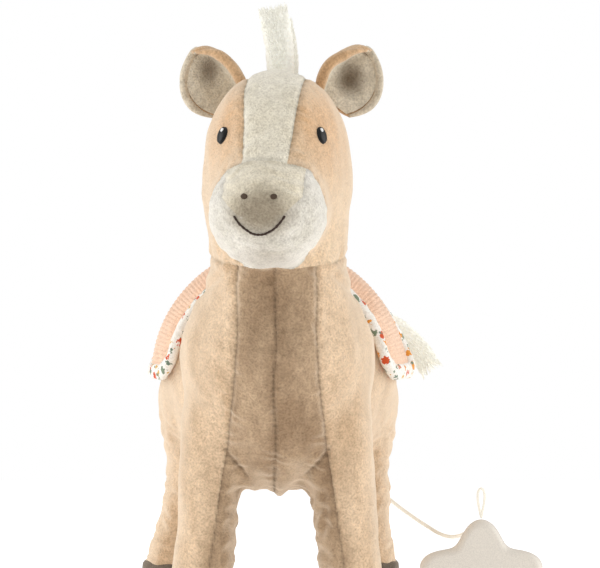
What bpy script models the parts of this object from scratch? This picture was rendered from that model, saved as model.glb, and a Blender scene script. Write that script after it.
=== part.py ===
"""Standing plush horse with a pull-cord musical movement, as its separate sewn, stuffed and hard pieces.

Units are metres and +Z is up. The horse faces -Y, so its own left side is +X. The design is worked out
on the horse's plane of symmetry, and one empty, horse_frame, shifts it so that the box round the horse
is centred on the origin with its hooves on z = 0.
"""

import math

import bmesh
import bpy
from mathutils import Matrix, Vector

# Driving dimensions
FRAME_SHIFT = Vector((-0.0090, 0.0013, 0.0))
GAP = 0.0003  # clearance between neighbouring pieces
FABRIC = 0.0012  # thickness of the pile fabric
STUFFING_INSET = 0.0032  # from the outer surface of the fabric to the stuffing
SEAM_ANGLE = 36.0  # degrees round the trunk from the belly line to the side panels
SEAM_GAP, HEAD_SEAM_GAP = 0.5, 1.5  # half the clearance between two panels, in degrees
NECK_AXIS = Vector((0.0, -0.040, 0.150))
NECK_CLEARANCE_RADIUS = 0.0315
HEAD_YAW = -7.0

# Trunk rings, rump to neck: centre y, centre z, tilt, half width, rise to the back, drop to the belly
TRUNK = (
    (0.0745, 0.1120, 0, 0.0090, 0.0090, 0.0090),
    (0.0715, 0.1120, 0, 0.0260, 0.0260, 0.0240),
    (0.0600, 0.1120, 0, 0.0420, 0.0420, 0.0400),
    (0.0380, 0.1120, 0, 0.0515, 0.0520, 0.0490),
    (0.0080, 0.1120, 0, 0.0495, 0.0530, 0.0510),
    (-0.0211, 0.1170, 20, 0.0485, 0.0500, 0.0550),
    (-0.0386, 0.1288, 40, 0.0460, 0.0460, 0.0380),
    (-0.0408, 0.1470, 58, 0.0370, 0.0340, 0.0260),
    (-0.0381, 0.1605, 75, 0.0290, 0.0250, 0.0250),
)

# Head rings, throat to crown: height, half width, foremost y, rearmost y
HEAD = (
    (0.1504, 0.0290, -0.0620, -0.0150),
    (0.1550, 0.0293, -0.0630, -0.0145),
    (0.1575, 0.0296, -0.0760, -0.0140),
    (0.1620, 0.0303, -0.0855, -0.0130),
    (0.1700, 0.0308, -0.0910, -0.0115),
    (0.1780, 0.0310, -0.0925, -0.0105),
    (0.1860, 0.0310, -0.0910, -0.0100),
    (0.1940, 0.0305, -0.0860, -0.0095),
    (0.2000, 0.0297, -0.0800, -0.0095),
    (0.2060, 0.0280, -0.0730, -0.0085),
    (0.2120, 0.0255, -0.0660, -0.0080),
    (0.2200, 0.0222, -0.0570, -0.0095),
    (0.2280, 0.0178, -0.0480, -0.0130),
    (0.2340, 0.0115, -0.0400, -0.0190),
    (0.2370, 0.0040, -0.0330, -0.0260),
)
MUZZLE_BOTTOM, MUZZLE_TOP, CROWN = 0.1575, 0.2000, 0.2340

# Each pair of legs: centre of the hip ball, ball radius, radius above the hoof, outward lean per metre
LEGS = {
    "front": (Vector((0.0270, -0.0380, 0.0820)), 0.0140, 0.0128, 0.020),
    "hind": (Vector((0.0365, 0.0450, 0.0850)), 0.0155, 0.0132, 0.055),
}
LEG_STEPS, SMALL_STEPS = 16, 12
CORD_ROUNDNESS = 2
HOOF_HEIGHT = 0.0250
HOOF_FLARE = 0.0012

EAR_ROOT = Vector((0.0212, -0.026, 0.2285))
EAR_LEAN, EAR_LENGTH, EAR_HALF_WIDTH = 42.0, 0.034, 0.0125
THREAD_HEIGHT = 0.0008
TUFT_ROOT, TUFT_HEIGHT = Vector((0.0, -0.029, 0.2385)), 0.0265

SADDLE_THICKNESS, SADDLE_CLEARANCE = 0.0040, 0.0008
SADDLE_FRONT_ROW, SADDLE_ROW_STEP, SADDLE_ROWS = 2.75, 0.25, 7
SADDLE_FOLD_ANGLE, SADDLE_HEM_ANGLE = 131.0, 89.0

TAIL_ROUTE = (
    (0.000, 0.0735, 0.1440), (0.006, 0.0800, 0.1450), (0.020, 0.0850, 0.1430),
    (0.036, 0.0865, 0.1370), (0.052, 0.0860, 0.1280), (0.064, 0.0840, 0.1180), (0.070, 0.0820, 0.1100),
)

# The musical movement, a case lying flat in the stuffing with the pull cord leaving at the rump
CASE_CENTRE, CASE_SIZE, CASE_WALL = Vector((0.0, 0.030, 0.116)), Vector((0.046, 0.036, 0.022)), 0.0015
REEL_AXIS = Vector((-0.0105, 0.030, 0.0))
REEL_RADIUS, SHAFT_RADIUS = 0.0085, 0.0013
CYLINDER_AXIS = CASE_CENTRE + Vector((0.0110, -0.0075, 0.0))
CYLINDER_RADIUS, CYLINDER_LENGTH, PIN_ROWS = 0.0042, 0.0150, 5
GOVERNOR_AXIS = Vector((0.0110, 0.0385, 0.0))
MOUTH = Vector((0.0040, 0.0480, 0.1130))

CORD_RADIUS = 0.0009
CORD_EXIT = Vector((0.0120, 0.0765, 0.1080))
CORD_ROUTE = (
    CORD_EXIT, (0.0123, 0.0830, 0.1075), (0.0145, 0.0895, 0.1035), (0.0190, 0.0940, 0.0940),
    (0.0260, 0.0960, 0.0800), (0.0345, 0.0955, 0.0670), (0.0440, 0.0920, 0.0560),
    (0.0535, 0.0845, 0.0480),
    (0.0620, 0.0720, 0.0425), (0.0680, 0.0570, 0.0395), (0.0725, 0.0400, 0.0380),
    (0.0765, 0.0230, 0.0385), (0.0800, 0.0070, 0.0410), (0.0830, -0.0060, 0.0445),
    (0.0850, -0.0145, 0.0470), (0.0860, -0.0195, 0.0478),
)

STAR_CENTRE, STAR_RADIUS, STAR_THICKNESS = Vector((0.0860, -0.0250, 0.0231)), 0.0274, 0.0085
LOOP_HEIGHT, LOOP_WIDTH, LOOP_CORD = 0.0135, 0.0043, 0.0006

# Colours, as linear red, green and blue
TAN = (0.70, 0.50, 0.36)
CREAM = (0.80, 0.74, 0.62)
WHITE_PILE = (0.86, 0.85, 0.80)
TAUPE = (0.20, 0.15, 0.11)
EAR_LINING = (0.26, 0.19, 0.14)
PEACH = (0.86, 0.58, 0.42)
BLACK_THREAD = (0.02, 0.02, 0.02)
BROWN_THREAD = (0.10, 0.06, 0.04)
FIBRE = (0.92, 0.92, 0.90)
CORD = (0.85, 0.80, 0.70)
SATIN_PLASTIC = (0.72, 0.67, 0.60)
CASE_PLASTIC = (0.80, 0.80, 0.78)
STEEL = (0.55, 0.55, 0.56)
BRASS = (0.78, 0.58, 0.25)


# Scene helpers


def clear_scene():
    for thing in list(bpy.data.objects):
        bpy.data.objects.remove(thing, do_unlink=True)


def new_collection(name):
    group = bpy.data.collections.new(name)
    bpy.context.scene.collection.children.link(group)
    return group


def empty(name, location=(0, 0, 0), parent=None, yaw=0.0):
    """An empty on a joint's axis, placed in its parent's frame."""
    marker = bpy.data.objects.new(name, None)
    marker.empty_display_size = 0.01
    marker.location = location
    marker.rotation_euler[2] = math.radians(yaw)
    marker.parent = parent
    PARTS.objects.link(marker)
    return marker


def paint(thing, colour, roughness, metallic):
    material = bpy.data.materials.new(thing.name)
    material.use_nodes = True
    shader = material.node_tree.nodes["Principled BSDF"]
    shader.inputs["Base Color"].default_value = (*colour, 1.0)
    shader.inputs["Roughness"].default_value = roughness
    shader.inputs["Metallic"].default_value = metallic
    material.diffuse_color = (*colour, 1.0)
    thing.data.materials.append(material)


def piece(name, mesh, colour, parent, pivot=(0, 0, 0), roughness=0.9, metallic=0.0):
    """A named sub-part. Its mesh comes in design coordinates, and pivot is where its parent stands."""
    thing = bpy.data.objects.new(name, mesh)
    PARTS.objects.link(thing)
    mesh.transform(Matrix.Translation(-Vector(pivot)))
    thing.parent = parent
    paint(thing, colour, roughness, metallic)
    return thing


def cutter(name, mesh, group):
    thing = bpy.data.objects.new(name, mesh)
    group.objects.link(thing)
    thing.parent = HORSE
    thing.hide_render = True
    thing.display_type = "WIRE"
    return thing


def cut(thing, tool):
    """Take a cutter, or every cutter in a collection, out of a piece."""
    modifier = thing.modifiers.new("cut", "BOOLEAN")
    modifier.operation = "DIFFERENCE"
    modifier.solver = "EXACT"
    if isinstance(tool, bpy.types.Collection):
        modifier.operand_type = "COLLECTION"
        modifier.collection = tool
    else:
        modifier.object = tool


def solidify(thing, thickness):
    """Thicken a sheet inwards, so that the sheet itself stays the outer surface."""
    modifier = thing.modifiers.new("thickness", "SOLIDIFY")
    modifier.thickness = thickness
    modifier.offset = -1.0


# Mesh builders


def to_mesh(name, shape):
    mesh = bpy.data.meshes.new(name)
    shape.to_mesh(mesh)
    shape.free()
    mesh.shade_smooth()
    mesh.set_sharp_from_angle(angle=math.radians(40))
    return mesh


def open_sheet(name, rows):
    """A sheet through rows of points, with its normals out of the body that the rows wrap."""
    shape = bmesh.new()
    grid = [[shape.verts.new(point) for point in row] for row in rows]
    for low, high in zip(grid, grid[1:]):
        for i in range(len(low) - 1):
            shape.faces.new((low[i], low[i + 1], high[i + 1], high[i]))
    return to_mesh(name, shape)


def closed_loft(name, rings, inset=0.0):
    """A solid through closed rings, capped at both ends and drawn in along its normals by inset."""
    shape = bmesh.new()
    grid = [[shape.verts.new(point) for point in ring] for ring in rings]
    count = len(rings[0])
    for low, high in zip(grid, grid[1:]):
        for i in range(count):
            j = (i + 1) % count
            shape.faces.new((low[i], low[j], high[j], high[i]))
    shape.faces.new(list(reversed(grid[0])))
    shape.faces.new(grid[-1])
    bmesh.ops.recalc_face_normals(shape, faces=shape.faces)
    shape.normal_update()
    for vertex, normal in [(v, v.normal.copy()) for v in shape.verts]:
        vertex.co -= normal * inset
    return to_mesh(name, shape)


def box(name, centre, size):
    shape = bmesh.new()
    bmesh.ops.create_cube(shape, size=1.0)
    bmesh.ops.scale(shape, vec=size, verts=shape.verts)
    bmesh.ops.translate(shape, vec=centre, verts=shape.verts)
    return to_mesh(name, shape)


def ball(name, centre, radius):
    shape = bmesh.new()
    bmesh.ops.create_uvsphere(shape, u_segments=20, v_segments=12, radius=radius)
    bmesh.ops.translate(shape, vec=centre, verts=shape.verts)
    return to_mesh(name, shape)


def cone(name, centre, bottom, top, depth, turn=None, segments=20):
    """A cylinder or cone centred on a point, along Z unless turn rotates it."""
    shape = bmesh.new()
    bmesh.ops.create_cone(
        shape, cap_ends=True, segments=segments, radius1=bottom, radius2=top, depth=depth
    )
    if turn is not None:
        bmesh.ops.rotate(shape, matrix=turn, verts=shape.verts)
    bmesh.ops.translate(shape, vec=centre, verts=shape.verts)
    return to_mesh(name, shape)


ALONG_Y = Matrix.Rotation(math.radians(90), 3, "X")
ALONG_X = Matrix.Rotation(math.radians(90), 3, "Y")


def turned(name, profile, colour, parent, steps=16, **finish):
    """A turned piece about the parent's Z axis: (radius, height) points, down the outer side."""
    mesh = bpy.data.meshes.new(name)
    closed = profile[0][0] > 0
    edges = [(i, i + 1) for i in range(len(profile) - 1)]
    if closed:
        edges.append((len(profile) - 1, 0))
    mesh.from_pydata([(radius, 0.0, height) for radius, height in profile], edges, [])
    thing = piece(name, mesh, colour, parent, **finish)
    screw = thing.modifiers.new("turn", "SCREW")
    screw.axis = "Z"
    screw.steps = steps
    screw.render_steps = steps
    screw.use_merge_vertices = True
    screw.merge_threshold = 0.00001
    screw.use_smooth_shade = True
    return thing


def tube(name, points, radius, colour, parent, cyclic=False):
    """A cord, thread or wire through points in its parent's frame."""
    curve = bpy.data.curves.new(name, "CURVE")
    curve.dimensions = "3D"
    curve.bevel_depth = radius
    curve.bevel_resolution = CORD_ROUNDNESS
    curve.use_fill_caps = not cyclic
    line = curve.splines.new("POLY")
    line.points.add(len(points) - 1)
    for point, place in zip(line.points, points):
        point.co = (*place, 1.0)
    line.use_cyclic_u = cyclic
    thing = bpy.data.objects.new(name, curve)
    PARTS.objects.link(thing)
    thing.parent = parent
    paint(thing, colour, 0.8, 0.0)
    return thing


def smooth_route(points, steps):
    """Points along a Catmull-Rom curve through a hand-placed route."""
    places = [Vector(p) for p in points]
    places = [2 * places[0] - places[1], *places, 2 * places[-1] - places[-2]]
    out = []
    for a, b, c, d in zip(places, places[1:], places[2:], places[3:]):
        for step in range(steps):
            t = step / steps
            out.append(
                0.5 * ((2 * b) + (c - a) * t + (2 * a - 5 * b + 4 * c - d) * t * t
                       + (3 * b - a - 3 * c + d) * t ** 3)
            )
    out.append(places[-2])
    return out


# The horse's surfaces


def trunk_point(row, angle, grow=0.0):
    """A point on the trunk: row counts TRUNK's rings, angle goes from the belly round its left side."""
    low = min(int(row), len(TRUNK) - 2)
    part = row - low
    y, z, tilt, wide, rise, drop = (
        a + (b - a) * part for a, b in zip(TRUNK[low], TRUNK[low + 1])
    )
    turn, lean = math.radians(angle), math.radians(tilt)
    up = -math.cos(turn) * ((drop if math.cos(turn) > 0 else rise) + grow)
    return Vector(((wide + grow) * math.sin(turn), y + up * math.sin(lean), z + up * math.cos(lean)))


def head_point(row, angle, grow=0.0):
    """A point on the head: row counts HEAD's rings, angle goes from the nose round its left side."""
    low = min(int(row), len(HEAD) - 2)
    part = row - low
    z, wide, front, back = (a + (b - a) * part for a, b in zip(HEAD[low], HEAD[low + 1]))
    turn = math.radians(angle)
    middle, reach = (front + back) / 2, (back - front) / 2
    return Vector(((wide + grow) * math.sin(turn), middle - (reach + grow) * math.cos(turn), z))


def head_row(height):
    """Where a height falls among HEAD's rings."""
    for i in range(len(HEAD) - 1):
        if height <= HEAD[i + 1][0]:
            return i + (height - HEAD[i][0]) / (HEAD[i + 1][0] - HEAD[i][0])
    return len(HEAD) - 1.0


def face_angle(height, across):
    """The angle round the head at which the front of the ring at this height is across from centre."""
    row = head_row(height)
    wide = head_point(row, 90).x
    return math.degrees(math.asin(min(1.0, across / wide)))


def patch(point, rows, low, high, columns, grow=0.0):
    """Rows of points between two angles, each a number or a function of the row."""
    out = []
    for row in rows:
        start = low(row) if callable(low) else low
        end = high(row) if callable(high) else high
        out.append([point(row, start + (end - start) * i / columns, grow) for i in range(columns + 1)])
    return out


def mirrored(rows):
    """The same rows on the other side of the plane of symmetry, still facing out."""
    return [[Vector((-p.x, p.y, p.z)) for p in reversed(row)] for row in rows]


SIDES = (("left", 1), ("right", -1))


def on_side(rows, side):
    return rows if side > 0 else mirrored(rows)


# Trunk


def build_cutters():
    """The hips' ball sockets with the flare that a swinging leg needs, and the neck's seat."""
    for pair, (hip, radius, _, _) in LEGS.items():
        for name, side in SIDES:
            centre = Vector((hip.x * side, hip.y, hip.z))
            cutter(f"socket_{pair}_{name}", ball("socket", centre, radius + 0.0006), HIP_CUTTERS)
            flare = cone("flare", centre - Vector((0, 0, 0.0165)), radius + 0.0140, radius + 0.0008, 0.033)
            cutter(f"flare_{pair}_{name}", flare, HIP_CUTTERS)
    seat = cone("neck_seat", NECK_AXIS + Vector((0, 0, 0.020)), NECK_CLEARANCE_RADIUS,
                NECK_CLEARANCE_RADIUS, 0.040, segments=32)
    cutter("neck_seat", seat, HIP_CUTTERS)


def build_trunk():
    rings = [
        [trunk_point(row, 360.0 * i / 24) for i in range(24)] for row in range(len(TRUNK))
    ]
    stuffing = piece("body_stuffing", closed_loft("body_stuffing", rings, STUFFING_INSET), FIBRE, HORSE)
    room = cutter("movement_room", box("room", CASE_CENTRE, CASE_SIZE + Vector((0.004,) * 3)), CUTTERS)
    inner = MOUTH - Vector((0.0, 0.006, 0.0))
    run = (CORD_EXIT - inner) * 1.3
    turn = run.to_track_quat("Z", "Y").to_matrix()
    middle = inner + run / 2
    channel = cutter("cord_channel", cone("channel", middle, 0.0052, 0.0052, run.length, turn, 12), CUTTERS)
    cut(stuffing, HIP_CUTTERS)
    cut(stuffing, room)
    cut(stuffing, channel)

    chest_row = 5.6
    belly_rows = [0.06, 1, 2, 3, 4, 5, chest_row - 0.02]
    belly = patch(trunk_point, belly_rows, -SEAM_ANGLE + SEAM_GAP, SEAM_ANGLE - SEAM_GAP, 6)
    belly_panel = piece("belly_panel", open_sheet("belly_panel", belly), TAN, HORSE)
    solidify(belly_panel, FABRIC)
    cut(belly_panel, HIP_CUTTERS)
    side_rows = [0.06, 1, 1.5, 2, 3, 4, 5, 6, 7, 7.6]
    chest_rows = [chest_row + 0.02, 6, 6.5, 7, 7.8]
    for name, side in SIDES:
        flank = on_side(patch(trunk_point, side_rows, SEAM_ANGLE + SEAM_GAP, 180 - SEAM_GAP, 10), side)
        panel = piece(f"side_panel_{name}", open_sheet("side_panel", flank), TAN, HORSE)
        solidify(panel, FABRIC)
        cut(panel, HIP_CUTTERS)
        if side > 0:
            cut(panel, channel)
        chest = on_side(patch(trunk_point, chest_rows, SEAM_GAP, SEAM_ANGLE - SEAM_GAP, 4), side)
        panel = piece(f"chest_panel_{name}", open_sheet("chest_panel", chest), TAN, HORSE)
        solidify(panel, FABRIC)
        cut(panel, HIP_CUTTERS)


def build_saddle():
    """A padded saddle cloth: a centre over the back and a flap that hinges at each upper edge."""
    lift = SADDLE_CLEARANCE + SADDLE_THICKNESS
    rows = [SADDLE_FRONT_ROW + SADDLE_ROW_STEP * i for i in range(SADDLE_ROWS)]

    def saddle_sheet(low, high, columns):
        return patch(trunk_point, rows, low, high, columns, lift)

    across = 360 - SADDLE_FOLD_ANGLE
    centre = piece("saddle_centre", open_sheet("saddle_centre", saddle_sheet(
        SADDLE_FOLD_ANGLE + SEAM_GAP, across - SEAM_GAP, 10)), PEACH, HORSE)
    solidify(centre, SADDLE_THICKNESS)

    def hem(row):
        """The flap's rounded lower outline."""
        t = (row - rows[0]) / (rows[-1] - rows[0]) * 2 - 1
        return SADDLE_HEM_ANGLE + 24.0 * (1 - math.sqrt(max(0.0, 1 - t * t * 0.96)))

    fold = trunk_point(sum(rows) / len(rows), SADDLE_FOLD_ANGLE, lift)
    for name, side in SIDES:
        hinge = Vector((fold.x * side, fold.y, fold.z))
        flap = on_side(patch(trunk_point, rows, hem, SADDLE_FOLD_ANGLE - SEAM_GAP, 6, lift), side)
        joint = empty(f"flap_hinge_{name}", hinge, HORSE)
        thing = piece(f"saddle_flap_{name}", open_sheet("flap", flap), PEACH, joint, hinge)
        solidify(thing, SADDLE_THICKNESS)


# Head


def build_head():
    joint = empty("head_turn", NECK_AXIS, HORSE, HEAD_YAW)
    rings = [[head_point(row, 360.0 * i / 24) for i in range(24)] for row in range(len(HEAD))]
    piece("head_stuffing", closed_loft("head_stuffing", rings, STUFFING_INSET), FIBRE, joint, NECK_AXIS)

    def blaze_edge(row):
        height = head_point(row, 0).z
        return face_angle(height, 0.009 + 0.003 * (height - MUZZLE_TOP) / (CROWN - MUZZLE_TOP))

    def nose_edge(row):
        return face_angle(head_point(row, 0).z, 0.0165)

    def cheek_edge(row):
        """The side edge of the muzzle panels, which taper in at the chin and at the top seam."""
        height = head_point(row, 0).z
        middle = (MUZZLE_BOTTOM + MUZZLE_TOP) / 2
        t = (height - middle) / (MUZZLE_TOP - middle)
        return nose_edge(row) + 24.0 * math.sqrt(max(0.03, 1 - t * t))

    def shrink(edge, by):
        return lambda row: edge(row) + by

    def sheet(name, rows, low, high, columns, colour):
        return piece(name, open_sheet(name, patch(head_point, rows, low, high, columns)), colour, joint,
                     NECK_AXIS)

    muzzle_rows = [2.1, 3, 4, 5, 6, 7, 7.9]
    blaze_rows = [8.1, 9, 10, 11, 12, 13]
    face = sheet("blaze_panel", blaze_rows, lambda r: -blaze_edge(r), blaze_edge, 4, CREAM)
    nose = sheet("nose_panel", muzzle_rows, lambda r: -nose_edge(r), nose_edge, 6, CREAM)
    for panel in (face, nose):
        solidify(panel, FABRIC)
    for name, side in SIDES:
        upper = shrink(nose_edge, HEAD_SEAM_GAP)
        lower = shrink(cheek_edge, -HEAD_SEAM_GAP)
        cheek = on_side(patch(head_point, muzzle_rows, upper, lower, 3), side)
        panel = piece(f"muzzle_side_{name}", open_sheet("muzzle_side", cheek), WHITE_PILE, joint, NECK_AXIS)
        solidify(panel, FABRIC)

        def inner_edge(row):
            if row < 2:
                return HEAD_SEAM_GAP
            return (cheek_edge(row) if row < 8 else blaze_edge(row)) + HEAD_SEAM_GAP

        side_rows = [0.15, 1, 1.95, 2.1, 3, 4, 5, 6, 7, 7.9, 8.1, 9, 10, 11, 12, 13]
        cover = on_side(patch(head_point, side_rows, inner_edge, 180 - HEAD_SEAM_GAP, 8), side)
        panel = piece(f"head_side_{name}", open_sheet("head_side", cover), TAN, joint, NECK_AXIS)
        solidify(panel, FABRIC)
    build_face(joint)
    build_tuft(joint)
    return joint


def build_face(joint):
    """Embroidered eyes, nostrils and mouth, each a low pad of thread on the fabric."""
    def spot(name, height, across, side, wide, tall, lift, colour):
        row, angle = head_row(height), face_angle(height, across)
        place = head_point(row, angle)
        round_face = head_point(row, angle + 1) - head_point(row, angle - 1)
        up_face = head_point(row + 0.3, angle) - head_point(row - 0.3, angle)
        out = round_face.cross(up_face).normalized()
        place += out * lift
        flip = Matrix.Diagonal((side, 1, 1, 1))
        aim = flip.to_3x3() @ out
        shape = bmesh.new()
        bmesh.ops.create_uvsphere(shape, u_segments=SMALL_STEPS, v_segments=6, radius=1.0)
        bmesh.ops.scale(shape, vec=(wide, tall, THREAD_HEIGHT), verts=shape.verts)
        bmesh.ops.rotate(shape, matrix=aim.to_track_quat("Z", "Y").to_matrix(), verts=shape.verts)
        bmesh.ops.translate(shape, vec=flip @ place, verts=shape.verts)
        piece(name, to_mesh(name, shape), colour, joint, NECK_AXIS)

    for name, side in SIDES:
        spot(f"eye_{name}", 0.211, 0.0200, side, 0.0033, 0.0042, 0.0016, BLACK_THREAD)
        spot(f"nostril_{name}", 0.185, 0.0060, side, 0.0013, 0.0017, 0.0012, BROWN_THREAD)
    points = []
    for step in range(9):
        across = -0.0105 + 0.0210 * step / 8
        height = 0.1705 + 0.0080 * (across / 0.0105) ** 2
        place = head_point(head_row(height), face_angle(height, abs(across)), 0.0010)
        points.append(Vector((math.copysign(place.x, across), place.y, place.z)) - NECK_AXIS)
    tube("mouth_stitch", points, 0.0005, BROWN_THREAD, joint)


def strand_rings(route, radii, squash, count=10):
    """Closed rings of changing radius along a route, flattened across the route's side direction."""
    places = [Vector(p) for p in route]
    out = []
    for i, (place, radius) in enumerate(zip(places, radii)):
        before, after = places[max(i - 1, 0)], places[min(i + 1, len(places) - 1)]
        along = (after - before).normalized()
        side = along.cross(Vector((0, 1, 0))).normalized()
        through = side.cross(along)
        out.append([
            place + radius * (side * math.cos(a) + squash * through * math.sin(a))
            for a in (math.tau * k / count for k in range(count))
        ])
    return out


def build_tuft(joint):
    """The white pile tuft between the ears and the mane down the back of the head."""
    leans = (0.0, 0.0004, 0.0003, -0.0012, -0.0034)
    radii = (0.0056, 0.0068, 0.0070, 0.0062, 0.0030)
    route = [TUFT_ROOT + Vector((lean, 0, TUFT_HEIGHT * i / 4)) for i, lean in enumerate(leans)]
    piece("forelock", closed_loft("forelock", strand_rings(route, radii, 0.8)), WHITE_PILE, joint,
          NECK_AXIS)
    heights = (0.176, 0.186, 0.198, 0.210, 0.221, 0.2285)
    down = [head_point(head_row(h), 180, 0.0042) for h in heights]
    radii = (0.0028, 0.0036, 0.0038, 0.0038, 0.0036, 0.0026)
    piece("mane", closed_loft("mane", strand_rings(down, radii, 1.0)), WHITE_PILE, joint, NECK_AXIS)


def build_ears(head):
    """Cupped leaf-shaped ears, each an outer and a lining, bending about the seam at the root."""
    for name, side in SIDES:
        root = Vector((EAR_ROOT.x * side, EAR_ROOT.y, EAR_ROOT.z))
        joint = empty(f"ear_bend_{name}", root - NECK_AXIS, head)
        lean = math.radians(EAR_LEAN)
        along = Vector((math.sin(lean) * side, 0, math.cos(lean)))
        across = Vector((math.cos(lean) * side, 0, -math.sin(lean)))

        def leaf(scale, forward):
            rows = []
            for i in range(9):
                s = (i + 0.25) / 8.5
                half = EAR_HALF_WIDTH * scale * math.sin(math.pi * min(1.0, 0.10 + 0.88 * s) ** 0.8) ** 0.7
                row = []
                for k in range(7):
                    t = k / 3 - 1
                    cup = 0.0065 * (1 - t * t) * math.sin(math.pi * min(1, s + 0.15)) - forward
                    start = (1 - scale) * 0.5 * EAR_LENGTH
                    row.append(along * (start + EAR_LENGTH * scale * s) + across * half * t
                               + Vector((0, cup, 0)))
                rows.append(row if side > 0 else list(reversed(row)))
            return rows

        outer = piece(f"ear_outer_{name}", open_sheet("ear_outer", leaf(1.0, 0.0)), TAN, joint)
        solidify(outer, -0.0012)
        lining_mesh = open_sheet("ear_lining", leaf(0.84, 0.0028))
        lining = piece(f"ear_lining_{name}", lining_mesh, EAR_LINING, joint)
        solidify(lining, -0.0009)


# Legs, tail


def build_legs():
    for pair, (hip, ball_radius, foot_radius, lean) in LEGS.items():
        top = HOOF_HEIGHT + GAP - hip.z
        for name, side in SIDES:
            place = Vector((hip.x * side, hip.y, hip.z))
            joint = empty(f"hip_{pair}_{name}", place, HORSE)

            def outline(t):
                """The leg's outer radius, from the hip's equator at t = 0 to the hoof at t = 1."""
                return ball_radius + (foot_radius - ball_radius) * (1 - (1 - t) ** 1.6)

            start = -0.0015
            stations = [i / 4 for i in range(5)]
            heights = [start + (top - start) * t for t in stations]
            cap = [(ball_radius * math.sin(a), ball_radius * math.cos(a))
                   for a in (math.radians(90 * k / 4) for k in range(5))]
            cap[-1] = (ball_radius, GAP + start)
            inner = [(outline(t) - FABRIC - GAP, z) for t, z in zip(stations, heights)]
            inner[0] = (inner[0][0], GAP + start)
            filling = cap + inner + [(0.0, top)]
            sleeve = [(outline(t), z) for t, z in zip(stations, heights)]
            sleeve += [(r - FABRIC, z) for r, z in reversed(sleeve)]
            wide = foot_radius + HOOF_FLARE
            hoof = [(0.0, top - GAP), (foot_radius, top - GAP), (wide, top - 0.006),
                    (wide + 0.0004, 0.0025 - hip.z), (wide - 0.0016, -hip.z), (0.0, -hip.z)]
            names = (("stuffing", filling, FIBRE), ("cover", sleeve, TAN), ("hoof", hoof, TAUPE))
            for kind, profile, colour in names:
                part = turned(f"{kind}_{pair}_{name}", profile, colour, joint, LEG_STEPS)
                lean_piece(part, -lean * side)


def lean_piece(thing, slope):
    """Shear a piece so that it leans sideways while its sole stays flat."""
    thing.matrix_parent_inverse = Matrix(((1, 0, slope, 0), (0, 1, 0, 0), (0, 0, 1, 0), (0, 0, 0, 1)))


def build_tail():
    root = Vector(TAIL_ROUTE[0])
    joint = empty("tail_root", root, HORSE)
    radii = (0.0042, 0.0052, 0.0062, 0.0066, 0.0068, 0.0066, 0.0050)
    piece("tail", closed_loft("tail", strand_rings(TAIL_ROUTE, radii, 0.55)), WHITE_PILE, joint, root)


# Musical movement


def build_case():
    floor = CASE_CENTRE.z - CASE_SIZE.z / 2
    shell = bmesh.new()
    bmesh.ops.create_cube(shell, size=1.0)
    bmesh.ops.scale(shell, vec=CASE_SIZE - Vector((0, 0, 0.002)), verts=shell.verts)
    bmesh.ops.translate(shell, vec=CASE_CENTRE - Vector((0, 0, 0.001)), verts=shell.verts)
    bmesh.ops.delete(shell, geom=[f for f in shell.faces if f.normal.z > 0.5], context="FACES_ONLY")
    base = piece("movement_case_base", to_mesh("case_base", shell), CASE_PLASTIC, HORSE, roughness=0.4)
    solidify(base, CASE_WALL)
    cut(base, cutter("case_mouth", cone("case_mouth", MOUTH, 0.0022, 0.0022, 0.010, ALONG_Y, 12), CUTTERS))

    lid_z = CASE_CENTRE.z + CASE_SIZE.z / 2 - 0.002 + GAP
    lid = box("case_lid", (CASE_CENTRE.x, CASE_CENTRE.y, lid_z + 0.0008),
              (CASE_SIZE.x, CASE_SIZE.y, 0.0016))
    lid = piece("movement_case_lid", lid, CASE_PLASTIC, HORSE, roughness=0.4)
    for number, side in ((1, -1), (2, 1)):
        place = Vector((CASE_CENTRE.x + side * 0.0195, CASE_CENTRE.y - side * 0.0145, lid_z + 0.0016))
        hole = cone("lid_hole", place, 0.0012, 0.0012, 0.006, segments=SMALL_STEPS)
        cut(lid, cutter(f"lid_hole_{number}", hole, CUTTERS))
        seat = empty(f"case_screw_seat_{number}", place, HORSE)
        profile = [(0.0, 0.0013), (0.0016, 0.0011), (0.0019, GAP), (0.0009, GAP), (0.0009, -0.0050),
                   (0.0, -0.0056)]
        turned(f"case_screw_{number}", profile, STEEL, seat, SMALL_STEPS, roughness=0.3, metallic=1.0)

    bed_z = floor + CASE_WALL + GAP
    bed = box("bedplate", (CASE_CENTRE.x, CASE_CENTRE.y, bed_z + 0.0007), (0.036, 0.031, 0.0014))
    piece("bedplate", bed, BRASS, HORSE, roughness=0.35, metallic=1.0)
    return bed_z + 0.0014 + GAP


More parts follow.
